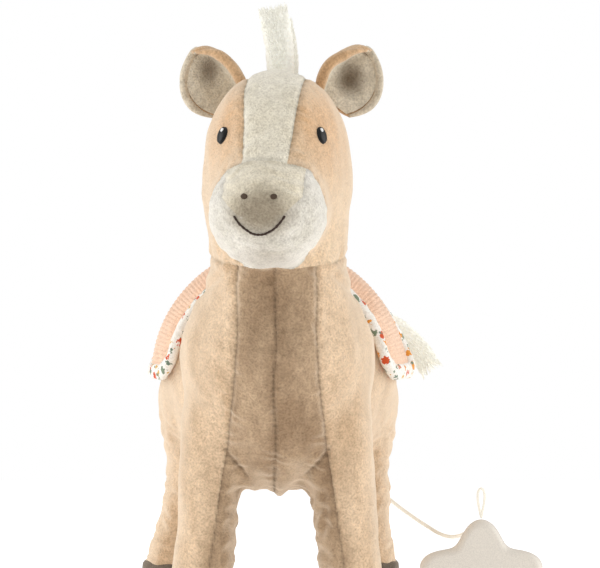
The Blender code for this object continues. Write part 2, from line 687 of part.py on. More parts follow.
def build_movement(deck):
    """The reel with its mainspring, the pinned cylinder with its comb, and the air-brake governor."""
    shaft_seat = empty("reel_axis", REEL_AXIS + Vector((0, 0, deck)), HORSE)
    shaft = [(0.0, 0.0148), (SHAFT_RADIUS, 0.0144), (SHAFT_RADIUS, 0.0), (0.0, 0.0)]
    turned("reel_shaft", shaft, STEEL, shaft_seat, SMALL_STEPS, roughness=0.25, metallic=1.0)
    bore = SHAFT_RADIUS + 0.00015
    hub, rim = REEL_RADIUS - 0.0020, REEL_RADIUS + 0.0016
    reel = [(rim, 0.0078), (rim, 0.0070), (hub, 0.0070), (hub, 0.0022), (rim + 0.001, 0.0022),
            (rim + 0.001, 0.0008), (bore, 0.0008), (bore, 0.0078)]
    turned("cord_reel", reel, CASE_PLASTIC, shaft_seat, 24, roughness=0.4)
    winding = [(REEL_RADIUS, 0.0067), (REEL_RADIUS, 0.0025), (hub + GAP, 0.0025), (hub + GAP, 0.0067)]
    turned("cord_winding", winding, CORD, shaft_seat, 24)
    spring = [(REEL_RADIUS, 0.0125), (REEL_RADIUS, 0.0084), (0.0019, 0.0084), (0.0019, 0.0125)]
    turned("mainspring", spring, STEEL, shaft_seat, 24, roughness=0.3, metallic=1.0)

    axis = empty("cylinder_axis", CYLINDER_AXIS, HORSE)
    drum = cone("cylinder", CYLINDER_AXIS, CYLINDER_RADIUS, CYLINDER_RADIUS, CYLINDER_LENGTH, ALONG_X, 24)
    drum = piece("pinned_cylinder", drum, BRASS, axis, CYLINDER_AXIS, roughness=0.3, metallic=1.0)
    pins = bmesh.new()
    for row in range(PIN_ROWS):
        turn = math.tau * row / PIN_ROWS + 0.3
        along = (row * 2 % PIN_ROWS - (PIN_ROWS - 1) / 2) * 0.0026
        pin = Matrix.Translation(CYLINDER_AXIS + Vector((along, 0, 0))) @ Matrix.Rotation(turn, 4, "X")
        bmesh.ops.create_cube(pins, size=1.0, matrix=pin @ Matrix.Translation((0, 0, CYLINDER_RADIUS))
                              @ Matrix.Diagonal((0.0005, 0.0005, 0.0012, 1)))
    joined = drum.modifiers.new("pins", "BOOLEAN")
    joined.operation = "UNION"
    joined.solver = "EXACT"
    joined.object = cutter("cylinder_pins", to_mesh("pins", pins), CUTTERS)

    comb_z = CYLINDER_AXIS.z + CYLINDER_RADIUS + 0.0016
    teeth, pitch, root = 7, 0.0020, 0.0320
    outline = [(0.0035, root), (0.0035, root + 0.0030), (0.0185, root + 0.0030), (0.0185, root)]
    for tooth in reversed(range(teeth)):
        middle = 0.0110 + (tooth - (teeth - 1) / 2) * pitch
        tip = CYLINDER_AXIS.y + 0.0010 + 0.0003 * tooth
        outline += [(middle + 0.0007, root), (middle + 0.0007, tip), (middle - 0.0007, tip),
                    (middle - 0.0007, root)]
    comb = flat_plate("comb", outline, comb_z, 0.0007)
    comb = piece("comb", comb, STEEL, HORSE, roughness=0.2, metallic=1.0)
    for number, side in ((1, -1), (2, 1)):
        place = Vector((0.0110 + side * 0.0050, root + 0.0015, comb_z + 0.0007))
        hole = cone("comb_hole", place, 0.0008, 0.0008, 0.004, segments=SMALL_STEPS)
        cut(comb, cutter(f"comb_hole_{number}", hole, CUTTERS))
        seat = empty(f"comb_screw_seat_{number}", place, HORSE)
        profile = [(0.0, 0.0008), (0.0012, 0.0006), (0.0013, GAP), (0.00055, GAP), (0.00055, -0.0030),
                   (0.0, -0.0034)]
        turned(f"comb_screw_{number}", profile, STEEL, seat, SMALL_STEPS, roughness=0.3, metallic=1.0)

    fan_seat = empty("governor_axis", GOVERNOR_AXIS + Vector((0, 0, deck)), HORSE)
    fan = cone("governor", GOVERNOR_AXIS + Vector((0, 0, deck + 0.0055)), 0.0009, 0.0009, 0.0100,
               segments=SMALL_STEPS)
    fan = piece("governor_fan", fan, BRASS, fan_seat, GOVERNOR_AXIS + Vector((0, 0, deck)),
                roughness=0.3, metallic=1.0)
    wing = box("wing", GOVERNOR_AXIS + Vector((0, 0, deck + 0.0030)), (0.0062, 0.0006, 0.0030))
    joined = fan.modifiers.new("wing", "BOOLEAN")
    joined.operation = "UNION"
    joined.solver = "EXACT"
    joined.object = cutter("governor_wing", wing, CUTTERS)


def flat_plate(name, outline, height, thickness):
    """A plate with this outline, from height up."""
    shape = bmesh.new()
    face = shape.faces.new([shape.verts.new((x, y, height)) for x, y in outline])
    if face.normal.z > 0:
        face.normal_flip()
    grown = bmesh.ops.extrude_face_region(shape, geom=[face])
    top = [v for v in grown["geom"] if isinstance(v, bmesh.types.BMVert)]
    bmesh.ops.translate(shape, vec=(0, 0, thickness), verts=top)
    bmesh.ops.recalc_face_normals(shape, faces=shape.faces)
    return to_mesh(name, shape)


# Cord and handle


def build_cord():
    seat = empty("grommet_seat", CORD_EXIT - Vector((0, 0.0010, 0)), HORSE)
    seat.rotation_euler[0] = math.radians(-90)
    hole = CORD_RADIUS + 0.0003
    ring = [(hole, 0.0010), (0.0030, 0.0010), (0.0042, 0.0002), (0.0042, -0.0012), (0.0030, -0.0040),
            (hole, -0.0040)]
    turned("cord_grommet", ring, CREAM, seat, SMALL_STEPS)
    tube("pull_cord", smooth_route(CORD_ROUTE, 3), CORD_RADIUS, CORD, HORSE)


def build_handle():
    """A rounded star that stands on two of its points, with a cord loop at its top."""
    joint = empty("handle_slide", STAR_CENTRE, HORSE)
    curve = bpy.data.curves.new("pull_handle", "CURVE")
    curve.dimensions = "2D"
    curve.fill_mode = "BOTH"
    rim = 0.0015
    curve.extrude = STAR_THICKNESS / 2 - rim
    curve.bevel_depth = rim
    curve.bevel_resolution = 1
    count = 60
    line = curve.splines.new("POLY")
    line.points.add(count - 1)
    for i, point in enumerate(line.points):
        turn = math.tau * i / count
        radius = (STAR_RADIUS - rim) * (1 - 0.33 * abs(math.sin(2.5 * turn)) ** 1.5)
        point.co = (radius * math.sin(turn), radius * math.cos(turn), 0, 1)
    line.use_cyclic_u = True
    star = bpy.data.objects.new("pull_handle", curve)
    PARTS.objects.link(star)
    star.parent = joint
    star.rotation_euler[0] = math.radians(90)
    paint(star, SATIN_PLASTIC, 0.5, 0.0)
    top = Vector((0, 0, STAR_RADIUS + LOOP_CORD + GAP))
    loop = []
    for step in range(16):
        turn = math.tau * step / 16
        pinch = math.sin(turn / 2) ** 1.5
        rise = (LOOP_HEIGHT - 2 * LOOP_CORD) * (1 - math.cos(turn)) / 2
        loop.append(top + Vector(((LOOP_WIDTH / 2 - LOOP_CORD + 0.0006) * math.sin(turn) * pinch, 0, rise)))
    tube("handle_loop", loop, LOOP_CORD, CORD, joint, cyclic=True)


clear_scene()
PARTS = new_collection("plush_horse")
CUTTERS = new_collection("cutters")
HIP_CUTTERS = new_collection("joint_cutters")
HORSE = empty("horse_frame", FRAME_SHIFT)
build_cutters()
build_trunk()
build_saddle()
build_ears(build_head())
build_legs()
build_tail()
build_movement(build_case())
build_cord()
build_handle()
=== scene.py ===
"""The looks of the plush horse: velour skin, embroidery, saddle cloth, pile tufts, cord and handle.

Lengths here are in millimetres of the design frame, which is symmetric about x = 0, faces -Y and
stands on z = 0. place() turns them into the frame's metres, with the shift read from the hooves.
"""

import math
import random

import bmesh
import bpy
import numpy as np
import openvdb
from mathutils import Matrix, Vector


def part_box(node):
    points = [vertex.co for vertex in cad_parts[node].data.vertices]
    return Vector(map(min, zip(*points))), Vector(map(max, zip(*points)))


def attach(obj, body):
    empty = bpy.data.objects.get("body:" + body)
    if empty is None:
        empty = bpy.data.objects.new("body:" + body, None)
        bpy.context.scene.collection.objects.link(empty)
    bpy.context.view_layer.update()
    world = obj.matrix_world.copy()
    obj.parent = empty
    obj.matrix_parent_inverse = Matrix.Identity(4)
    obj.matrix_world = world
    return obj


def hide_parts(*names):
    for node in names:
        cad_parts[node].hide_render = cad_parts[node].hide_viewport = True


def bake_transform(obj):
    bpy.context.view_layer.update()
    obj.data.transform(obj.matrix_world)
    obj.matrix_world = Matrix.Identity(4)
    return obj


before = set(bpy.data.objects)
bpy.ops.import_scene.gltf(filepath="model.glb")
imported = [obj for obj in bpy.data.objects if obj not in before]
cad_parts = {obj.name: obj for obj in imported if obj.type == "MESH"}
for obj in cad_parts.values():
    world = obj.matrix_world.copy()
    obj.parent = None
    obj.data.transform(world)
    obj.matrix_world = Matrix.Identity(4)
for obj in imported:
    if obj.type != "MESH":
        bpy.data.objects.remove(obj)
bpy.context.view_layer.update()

FRONT_FOOT_Y = -38.0
left_hoof, right_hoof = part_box("hoof_front_left"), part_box("hoof_front_right")
SHIFT = np.array([
    (left_hoof[1].x + right_hoof[0].x) / 2,
    (left_hoof[0].y + left_hoof[1].y) / 2 - FRONT_FOOT_Y / 1000,
    0.0,
])

# The voxel grid that the skin is meshed on.
VOXEL = 0.85
GRID_LOW = np.array([-68.0, -98.0, 18.0])
GRID_HIGH = np.array([66.0, 86.0, 244.0])

# The body's main places and sizes; -1 is the horse's right side and 1 its left.
NECK_AXIS = np.array([0.0, -40.0])
HEAD_YAW = math.radians(-7)
HOOF_TOP = 25.0
LEG_TOP = 60.0
BARREL = ((0, 30, 112), (51, 45.5, 51))
CHEST = ((0, -29, 109), (39.5, 33, 47))
NECK = ((0, -31, 128), (1.0, -37, 162), 38, 26)
RIGHT_RUMP, LEFT_RUMP = (((x, 44, 98), (22.5, 25, 27)) for x in (-30, 30))
SKULL = ((-0.8, -38, 192), (30.4, 30, 45.5))
CROWN = ((-0.8, -36, 209), (27.4, 26, 28.5))
THROAT = ((1.2, -37, 150), (0, -38, 188), 24.8, 28)
BROW = ((0, -46, 208), (0, -62, 188), 22, 22)
MUZZLE_BALL = ((0.3, -68.5, 178.8), (24.3, 24.5, 22.6))
SADDLE_Y = (4.0, 46.0)
SADDLE_FOLD = math.radians(49)
SADDLE_HEM = math.radians(91.5)
SADDLE_Z = 112.0
STITCH_PITCH = 2.6
PUCKER_PITCH = 7.5
LEG_WRINKLE_PITCH = 8.2
FRONT_HIP = (25.5, -36.0, 90.0)
FRONT_FOOT = {-1: (-31.3, -38.0, 18.0), 1: (31.0, -38.0, 18.0)}
FRONT_THIGH_RADIUS = 14.0
FRONT_FOOT_RADIUS = {-1: 13.0, 1: 12.6}
HIND_HIP = (32.0, 45.0, 94.0)
HIND_KNEE = {-1: (-37.2, 46.0, 56.0), 1: (35.6, 46.0, 55.0)}
HIND_FOOT = {-1: (-47.5, 46.0, 18.0), 1: (40.5, 46.0, 18.0)}
HIND_THIGH_RADIUS = 19.0
HIND_KNEE_RADIUS = 13.3
HIND_FOOT_RADIUS = {-1: 13.4, 1: 12.7}

# The cord's route in metres, from the rump to the handle's loop.
CORD_ROUTE = (
    (0.0120, 0.0765, 0.1080), (0.0123, 0.0830, 0.1075), (0.0145, 0.0895, 0.1035),
    (0.0190, 0.0940, 0.0940), (0.0260, 0.0960, 0.0800), (0.0345, 0.0955, 0.0670),
    (0.0440, 0.0920, 0.0560), (0.0535, 0.0845, 0.0480), (0.0620, 0.0720, 0.0425),
    (0.0680, 0.0570, 0.0395), (0.0725, 0.0400, 0.0380), (0.0765, 0.0230, 0.0385),
    (0.0800, 0.0070, 0.0410), (0.0830, -0.0060, 0.0445), (0.0850, -0.0145, 0.0470),
    (0.0860, -0.0195, 0.0478),
)
CORD_DIAMETER = 0.0018

dice = random.Random(7)
noise_dice = np.random.default_rng(11)


# ---------------------------------------------------------------- places and small helpers

def place(points):
    """Design millimetres to the frame's metres."""
    return np.asarray(points, float) / 1000 + SHIFT


def spot(x, y, z):
    return Vector(place((x, y, z)))


def side_word(side):
    return "left" if side > 0 else "right"


def smoothstep(low, high, value):
    t = np.clip((value - low) / (high - low), 0, 1)
    return t * t * (3 - 2 * t)


def turned_head(points, angle):
    """Turns points about the neck's axis by that angle."""
    out = np.array(points, float)
    x, y = out[..., 0] - NECK_AXIS[0], out[..., 1] - NECK_AXIS[1]
    out[..., 0] = x * math.cos(angle) - y * math.sin(angle) + NECK_AXIS[0]
    out[..., 1] = x * math.sin(angle) + y * math.cos(angle) + NECK_AXIS[1]
    return out


def unit(vectors):
    """Vectors at unit length."""
    return vectors / np.linalg.norm(vectors, axis=-1, keepdims=True)


def tangents_of(line):
    """Unit directions along a line of points."""
    return unit(np.gradient(line, axis=0))


def circle(steps):
    """Cosine and sine of even steps round a circle."""
    angles = 2 * math.pi * np.arange(steps) / steps
    return list(zip(np.cos(angles), np.sin(angles)))


def ripple_waves(wavelength, count=9):
    """Directions and phases of the plane waves that ripple() adds up."""
    directions = unit(noise_dice.normal(size=(count, 3)))
    pitch = wavelength * noise_dice.uniform(0.7, 1.5, count)
    return directions * (2 * math.pi / pitch)[:, None], noise_dice.uniform(0, 6.28, count)


BROAD_WAVES = ripple_waves(26)
MIDDLE_WAVES = ripple_waves(11)
FINE_WAVES = ripple_waves(4.5)


def ripple(points, waves):
    """A smooth random field between about -1 and 1."""
    total = np.zeros(len(points))
    for direction, phase in zip(*waves):
        total += np.sin(points @ direction + phase)
    return total / math.sqrt(len(waves[1]))


def metre_mesh(name, points, faces, tone):
    """A smooth-shaded mesh from points in metres."""
    mesh = bpy.data.meshes.new(name)
    mesh.from_pydata([tuple(p) for p in points], [], [tuple(int(i) for i in f) for f in faces])
    mesh.update()
    for polygon in mesh.polygons:
        polygon.use_smooth = True
    thing = bpy.data.objects.new(name, mesh)
    bpy.context.scene.collection.objects.link(thing)
    mesh.materials.append(tone)
    return thing


def new_mesh(name, points, faces, tone):
    """A smooth-shaded mesh from design millimetres."""
    return metre_mesh(name, place(points), faces, tone)


def recalculate(thing):
    """Makes a mesh's normals agree."""
    work = bmesh.new()
    work.from_mesh(thing.data)
    bmesh.ops.recalc_face_normals(work, faces=work.faces)
    work.to_mesh(thing.data)
    work.free()


def grid_faces(rows, columns, closed=False):
    """Quads between rows of points, the columns joined round if closed."""
    faces = []
    across = columns if closed else columns - 1
    for row in range(rows - 1):
        for column in range(across):
            after = (column + 1) % columns
            here, above = row * columns, (row + 1) * columns
            faces.append((here + column, here + after, above + after, above + column))
    return faces


def barrel_faces(rows, columns):
    """Quads round rings of points, with a cap at each end."""
    first = tuple(reversed(range(columns)))
    last = tuple(range((rows - 1) * columns, rows * columns))
    return grid_faces(rows, columns, closed=True) + [first, last]


def thick_sheet(name, front, back, rows, columns, tone):
    """A closed sheet between two grids of points, with a rim round its edge."""
    size = rows * columns
    loop = list(range(columns)) + [r * columns + columns - 1 for r in range(1, rows)]
    loop += [(rows - 1) * columns + c for c in range(columns - 2, -1, -1)]
    loop += [r * columns for r in range(rows - 2, 0, -1)]
    faces = grid_faces(rows, columns)
    faces += [tuple(i + size for i in reversed(face)) for face in faces]
    faces += [(a, a + size, b + size, b) for a, b in zip(loop, loop[1:] + loop[:1])]
    sheet = new_mesh(name, np.concatenate([front, back]), faces, tone)
    recalculate(sheet)
    return sheet


def route_through(points, steps):
    """A Catmull-Rom curve through the points."""
    points = [np.array(p, float) for p in points]
    padded = [2 * points[0] - points[1]] + points + [2 * points[-1] - points[-2]]
    out = []
    for a, b, c, d in zip(padded, padded[1:], padded[2:], padded[3:]):
        bend, twist = 2 * a - 5 * b + 4 * c - d, 3 * b - a - 3 * c + d
        for step in range(steps):
            t = step / steps
            out.append(0.5 * (2 * b + (c - a) * t + bend * t * t + twist * t ** 3))
    out.append(points[-1])
    return np.array(out)


def tube(name, line, radii, tone, sides=12, squash=1.0, up=(0, 0, 1), bump=0.0):
    """A closed tube along a line of design points, wide by radii and squashed along up."""
    line = np.array(line, float)
    radii = np.broadcast_to(np.asarray(radii, float), (len(line),))
    rows = []
    for centre, tangent, radius in zip(line, tangents_of(line), radii):
        high = unit(np.array(up, float) - tangent * np.dot(up, tangent))
        wide = np.cross(tangent, high)
        for cosine, sine in circle(sides):
            reach = radius * (1 + bump * (dice.random() - 0.5))
            rows.append(centre + wide * cosine * reach + high * sine * reach * squash)
    return new_mesh(name, rows, barrel_faces(len(line), sides), tone)


def belongs(piece, body, slot, *nodes, bend=None, fill=None):
    """Attaches a piece to the body it moves with, or, where bend is given, only bakes its transform in
    place; then hides the nodes it stands for. slot and fill are not used.
    """
    if bend:
        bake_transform(piece)
    else:
        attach(piece, body)
    if nodes:
        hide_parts(*nodes)


# ---------------------------------------------------------------- the stuffed shape as a field

def ellipsoid(p, centre, semi):
    q = (p - np.array(centre, np.float32)) / np.array(semi, np.float32)
    near = np.linalg.norm(q, axis=-1)
    slope = np.linalg.norm(q / np.array(semi, np.float32), axis=-1)
    return near * (near - 1) / np.maximum(slope, 1e-6)


def cone(p, a, b, radius_a, radius_b):
    a, b = np.array(a, np.float32), np.array(b, np.float32)
    along = b - a
    t = np.clip((p - a) @ along / float(along @ along), 0, 1)
    radius = radius_a + (radius_b - radius_a) * t
    return np.linalg.norm(p - a - t[..., None] * along, axis=-1) - radius


def join(a, b, width):
    """A smooth union of two fields."""
    h = np.clip(0.5 + 0.5 * (b - a) / width, 0, 1)
    return b + (a - b) * h - width * h * (1 - h)


def torso_field(p):
    body = ellipsoid(p, *BARREL)
    body = join(body, ellipsoid(p, *CHEST), 11)
    body = join(body, cone(p, *NECK), 11)
    return join(join(body, ellipsoid(p, *RIGHT_RUMP), 9), ellipsoid(p, *LEFT_RUMP), 9)


def mirrored(point, side):
    return point[0] * side, point[1], point[2]


def legs_field(p):
    both_sides = []
    for side in (-1, 1):
        front = cone(
            p, mirrored(FRONT_HIP, side), FRONT_FOOT[side], FRONT_THIGH_RADIUS, FRONT_FOOT_RADIUS[side])
        thigh = cone(p, mirrored(HIND_HIP, side), HIND_KNEE[side], HIND_THIGH_RADIUS, HIND_KNEE_RADIUS)
        shin = cone(p, HIND_KNEE[side], HIND_FOOT[side], HIND_KNEE_RADIUS, HIND_FOOT_RADIUS[side])
        both_sides.append(join(front, join(thigh, shin, 6), 3))
    return np.minimum(*both_sides)


def head_field(p):
    """The head, straight, before it is turned on the neck."""
    head = join(ellipsoid(p, *SKULL), ellipsoid(p, *CROWN), 7)
    head = join(head, cone(p, *THROAT), 8)
    head = join(head, cone(p, *BROW), 9)
    return join(head, ellipsoid(p, *MUZZLE_BALL), 4)


def horse_field(p):
    trunk = join(torso_field(p), legs_field(p), 8)
    return join(trunk, head_field(turned_head(p, -HEAD_YAW)), 7)


def slope_of(field, points, step=0.5):
    """The field's gradient by small steps."""
    slope = np.zeros((len(points), 3))
    for axis in range(3):
        shift = np.zeros(3)
        shift[axis] = step
        slope[:, axis] = (field(points + shift) - field(points - shift)) / (2 * step)
    return slope


def on_skin(points, rounds=4):
    """Moves points straight to the stuffed surface, and gives its normals there."""
    points = np.array(points, float)
    for _ in range(rounds):
        slope = slope_of(horse_field, points)
        size = np.maximum((slope ** 2).sum(1), 0.05)
        points = points - slope * (horse_field(points) / size)[:, None]
    return points, unit(slope_of(horse_field, points))


def seen_from(x, z, near=-100, far=0):
    """The skin's first point at that x and z, going along y from near to far."""
    ys = np.linspace(near, far, 400)
    values = horse_field(np.stack([np.full_like(ys, x), ys, np.full_like(ys, z)], 1))
    return np.array([x, ys[int(np.argmax(values < 0))], z])


# ---------------------------------------------------------------- seams

# Two points on the neck, given as the bend of the panels near the head; those panels are baked in
# place, not attached.
NECK_BEND = (spot(0, -35, 140), spot(0, -50, 162))


def chest_seam_reach(z):
    """How far from the middle the seam beside the chest runs, at each height."""
    return np.interp(z, (20, 32, 57, 77, 102, 131, 155), (29.0, 28.0, 24.5, 21.4, 18.5, 16.5, 16.8))


def neck_seam(p):
    return (p[:, 2] - 157) - 0.2 * (p[:, 1] + 62)


def muzzle_seam(p):
    """Negative on the muzzle, in the straight head."""
    behind = ((p[:, 1] + 61.5) + (p[:, 2] - 157) * 0.30) / 1.045
    return np.maximum(behind, ellipsoid(p, *MUZZLE_BALL) - 1.6)


def blaze_seam(p):
    """Negative on the blaze, in the straight head."""
    return np.abs(p[:, 0]) - (9.6 + (p[:, 2] - 200) * 0.075)


def nose_seam(p):
    """Negative on the nose panel, in the straight head."""
    return np.abs(p[:, 0]) - (16.8 - np.maximum(185 - p[:, 2], 0) * 1.0)


def seam_depths(p):
    """Each seam as (distance, where it runs from 0 to 1, groove depth, pucker height)."""
    h = turned_head(p, -HEAD_YAW)
    z, y = p[:, 2], p[:, 1]
    front = smoothstep(-2, -14, y)
    chest = front * smoothstep(57, 62, z) * (neck_seam(p) < 0)
    outer = smoothstep(-20, -34, y) * smoothstep(24, 30, z) * (neck_seam(p) < 0)
    under_head = smoothstep(-1, 2, neck_seam(p))
    blaze = under_head * smoothstep(0, 2, muzzle_seam(h)) * smoothstep(-26, -36, h[:, 1]) * (z > 184)
    nose = smoothstep(0, -2, muzzle_seam(h)) * smoothstep(180, 187, z)
    back = smoothstep(0, 12, y) * smoothstep(120, 140, z)
    leg = smoothstep(66, 60, z)
    fold = ((z - 81) - (np.abs(p[:, 0]) - 21.5) * 1.12) / 1.5
    armpit = front * smoothstep(10.5, 13.5, np.abs(p[:, 0])) * smoothstep(23, 21.5, np.abs(p[:, 0]))
    waver = 0.5 * ripple(p, BROAD_WAVES)
    return (
        (p[:, 0] + 0.8 + waver, chest, 0.95, 0.15),
        (np.abs(p[:, 0]) - chest_seam_reach(z), outer, 0.75, 0.25),
        (neck_seam(p), smoothstep(14, 24, np.abs(p[:, 0])), 0.5, 0.4),
        (muzzle_seam(h), under_head, 0.45, 0.2),
        (blaze_seam(h), blaze, 0.8, 0.2),
        (nose_seam(h), nose, 0.5, 0.2),
        (p[:, 0], back, 0.8, 0.3),
        (fold, armpit, 1.0, 0.2),
        (p[:, 1] + 36, leg * smoothstep(20, 5, y) * (np.abs(p[:, 0]) < 29), 0.9, 0.5),
        (p[:, 1] - 46, leg * smoothstep(5, 20, y), 0.9, 0.5),
    )


def painted_seam_shade(p):
    """How dark the seams are at each point, from 0 to 1: their stitched lines and painted shade in
    their grooves.
    """
    out = np.zeros(len(p))
    stitches = 0.72 + 0.28 * np.sin(2 * math.pi * p[:, 2] / STITCH_PITCH)
    for distance, run, depth, _ in seam_depths(p):
        out = np.maximum(out, run * min(depth, 0.9) * stitches * np.exp(-(distance / 0.62) ** 2))
    return out


def relief(p):
    """How far the sewn skin stands off the smooth stuffed shape."""
    out = 0.45 * ripple(p, BROAD_WAVES) + 0.14 * ripple(p, MIDDLE_WAVES)
    phase = 2 * math.pi * p[:, 2] / PUCKER_PITCH + 2.2 * ripple(p, MIDDLE_WAVES)
    for distance, run, depth, pucker in seam_depths(p):
        out -= run * depth * np.exp(-(distance / 1.25) ** 2)
        out += run * pucker * np.sin(phase) * np.exp(-(distance / 5.0) ** 2)
    x, y, z = p[:, 0], p[:, 1], p[:, 2]
    legs = smoothstep(74, 60, z)
    inner = legs * smoothstep(28, 18, np.abs(x)) * smoothstep(20, 0, y)
    outer = smoothstep(100, 84, z) * smoothstep(36, 46, np.abs(x)) * smoothstep(10, 25, y)
    out += (0.65 * inner + 0.35 * outer) * np.sin(
        2 * math.pi * z / LEG_WRINKLE_PITCH + 1.4 * ripple(p, MIDDLE_WAVES))
    belly = smoothstep(76, 66, z) * smoothstep(24, 12, np.abs(x))
    out += belly * (1.1 * np.sin(x / 2.1 + ripple(p, BROAD_WAVES)) - 0.6)
    under_chin = smoothstep(146, 154, z) * smoothstep(164, 157, z) * smoothstep(-20, -40, y)
    out += 0.5 * under_chin * np.sin(np.abs(x) / 2.4 + 0.35 * z)
    shoulder = (np.abs(x) - 28) * 0.6 + (z - 150) * 0.8
    crease = np.exp(-(shoulder / 1.6) ** 2) * smoothstep(18, 26, np.abs(x)) * (z > 138) * (z < 162)
    out -= 1.5 * crease
    return out


# ---------------------------------------------------------------- materials

def put(tree, node, inputs):
    """Sets a node's inputs to values, or links them to sockets."""
    for socket, value in inputs.items():
        if isinstance(value, bpy.types.NodeSocket):
            tree.links.new(value, node.inputs[socket])
        else:
            node.inputs[socket].default_value = value


def add(tree, kind, inputs, operation=None):
    """A new shader node."""
    node = tree.nodes.new("ShaderNode" + kind)
    if operation:
        node.operation = operation
    put(tree, node, inputs)
    return node


def new_material(name, inputs):
    """A material with the shader's inputs set: (material, tree, shader, object coordinates)."""
    made = bpy.data.materials.new(name)
    made.use_nodes = True
    tree = made.node_tree
    shader = tree.nodes["Principled BSDF"]
    put(tree, shader, {"Specular IOR Level": 0.25} | inputs)
    return made, tree, shader, add(tree, "TexCoord", {}).outputs["Object"]


def grey(value):
    return value, value, value, 1.0


def colour(tone):
    """A screen colour, 0 to 255, in linear light."""
    return tuple(((c / 255 + 0.055) / 1.055) ** 2.4 if c > 10 else c / 255 / 12.92
                 for c in tone) + (1.0,)


def darker(tone, share):
    """A linear colour at a share of its brightness."""
    return tuple(c * share for c in tone[:3]) + (1.0,)


def colour_ramp(tree, factor, stops, mode="LINEAR"):
    node = add(tree, "ValToRGB", {"Fac": factor})
    bar = node.color_ramp
    bar.interpolation = mode
    bar.elements.remove(bar.elements[-1])
    bar.elements[0].position, bar.elements[0].color = stops[0]
    for position, value in stops[1:]:
        bar.elements.new(position).color = value
    return node.outputs["Color"]


def noise_colours(tree, where, scale, stops, detail=3.0, stretch=(1, 1, 1)):
    """A noise texture through a colour ramp: (colour, noise value)."""
    mapping = add(tree, "Mapping", {"Vector": where, "Scale": stretch})
    texture = add(tree, "TexNoise", {
        "Vector": mapping.outputs["Vector"], "Scale": scale, "Detail": detail})
    return colour_ramp(tree, texture.outputs["Fac"], stops), texture.outputs["Fac"]


def mix(tree, factor, a, b, kind="MIX"):
    """Mixes two colours, each a socket or a value."""
    node = tree.nodes.new("ShaderNodeMix")
    node.data_type = "RGBA"
    node.blend_type = kind
    put(tree, node, {0: factor, 6: a, 7: b})
    return node.outputs[2]


def near_place(tree, where, centre, semi, soft):
    """1 inside an ellipsoid about a design point, fading to 0 at its rim."""
    away = add(tree, "VectorMath", {0: where, 1: spot(*centre)}, "SUBTRACT")
    metres = tuple(s / 1000 for s in semi)
    scaled = add(tree, "VectorMath", {0: away.outputs[0], 1: metres}, "DIVIDE")
    length = add(tree, "VectorMath", {0: scaled.outputs[0]}, "LENGTH")
    fade = add(tree, "MapRange", {
        "Value": length.outputs["Value"], "From Min": 1.0, "From Max": 1.0 - soft,
        "To Min": 0.0, "To Max": 1.0})
    fade.interpolation_type = "SMOOTHSTEP"
    return fade.outputs["Result"]


def bumped(tree, shader, height, strength, depth):
    """Roughens a shader's surface by a height, to a depth in metres."""
    bump = add(tree, "Bump", {"Height": height, "Strength": strength, "Distance": depth})
    put(tree, shader, {"Normal": bump.outputs["Normal"]})


def velour(name, dark, light, sheen_tone, patches=60.0, areas=(), rim=0.55, streak=(1, 1, 0.35)):
    """Short pile: brushed patches, fine mottling, painted sheen that lightens grazing edges, painted
    shade with the stitching in the seams, areas of other colours and of painted shade.
    """
    dark, light, sheen_tone = colour(dark), colour(light), colour(sheen_tone)
    made, tree, shader, where = new_material(name, {
        "Roughness": 0.9, "Sheen Weight": 0.35, "Sheen Roughness": 0.45, "Sheen Tint": sheen_tone})
    base, _ = noise_colours(tree, where, patches, ((0.34, dark), (0.66, light)), 3.0, streak)
    for centre, semi, tone, soft in areas:
        base = mix(tree, near_place(tree, where, centre, semi, soft), base, colour(tone))
    pile, pile_height = noise_colours(
        tree, where, 1150.0, ((0.30, (0.70, 0.68, 0.66, 1)), (0.62, grey(1.12))), 4.0)
    base = mix(tree, 0.75, base, pile, "MULTIPLY")
    crushed, _ = noise_colours(
        tree, where, 330.0, ((0.32, (0.86, 0.85, 0.84, 1)), (0.62, grey(1.06))), 2.0)
    base = mix(tree, 0.8, base, crushed, "MULTIPLY")
    # Painted sheen: the colour turns to the sheen tone towards grazing edges, up to rim.
    facing = add(tree, "LayerWeight", {"Blend": 0.42})
    edge = add(tree, "MapRange", {
        "Value": facing.outputs["Facing"], "From Min": 0.12, "From Max": 0.85, "To Max": rim})
    base = mix(tree, edge.outputs["Result"], base, sheen_tone)
    # Painted shade in the seam grooves, with their stitched lines: the seam attribute darkens the
    # colour.
    seam = add(tree, "Attribute", {})
    seam.attribute_name = "seam"
    base = mix(tree, seam.outputs["Fac"], base, darker(dark, 0.38))
    _, folds = noise_colours(tree, where, 260.0, ((0.0, dark), (1.0, light)))
    height = add(tree, "Math", {0: folds, 1: 1.2, 2: pile_height}, "MULTIPLY_ADD")
    put(tree, shader, {"Base Color": base})
    bumped(tree, shader, height.outputs[0], 0.75, 0.0012)
    return made


def plain(name, tone, roughness=0.6, metallic=0.0, grain=900.0, depth=0.0002, coat=0.0, painted_glow=0.0):
    """One colour with a fine grain in its tone and surface; a glow, if given, is painted light."""
    tone = colour(tone)
    made, tree, shader, where = new_material(name, {
        "Roughness": roughness, "Metallic": metallic, "Coat Weight": coat,
        "Emission Color": tone, "Emission Strength": painted_glow})
    tones, height = noise_colours(tree, where, grain, ((0.3, darker(tone, 0.82)), (0.7, tone)))
    put(tree, shader, {"Base Color": tones})
    bumped(tree, shader, height, 0.4, depth)
    return made


# Each print: the scale of its cells, the size of a spot in its cell, and its tones.
PRINTS = (
    (190.0, 0.36, ((0.0, (206, 84, 44)), (0.34, (226, 150, 60)), (0.55, (122, 138, 116)),
                   (0.78, (206, 128, 96)))),
    (290.0, 0.30, ((0.0, (250, 246, 240)), (0.45, (108, 126, 108)), (0.72, (214, 170, 92)),
                   (0.86, (150, 66, 46)))),
)


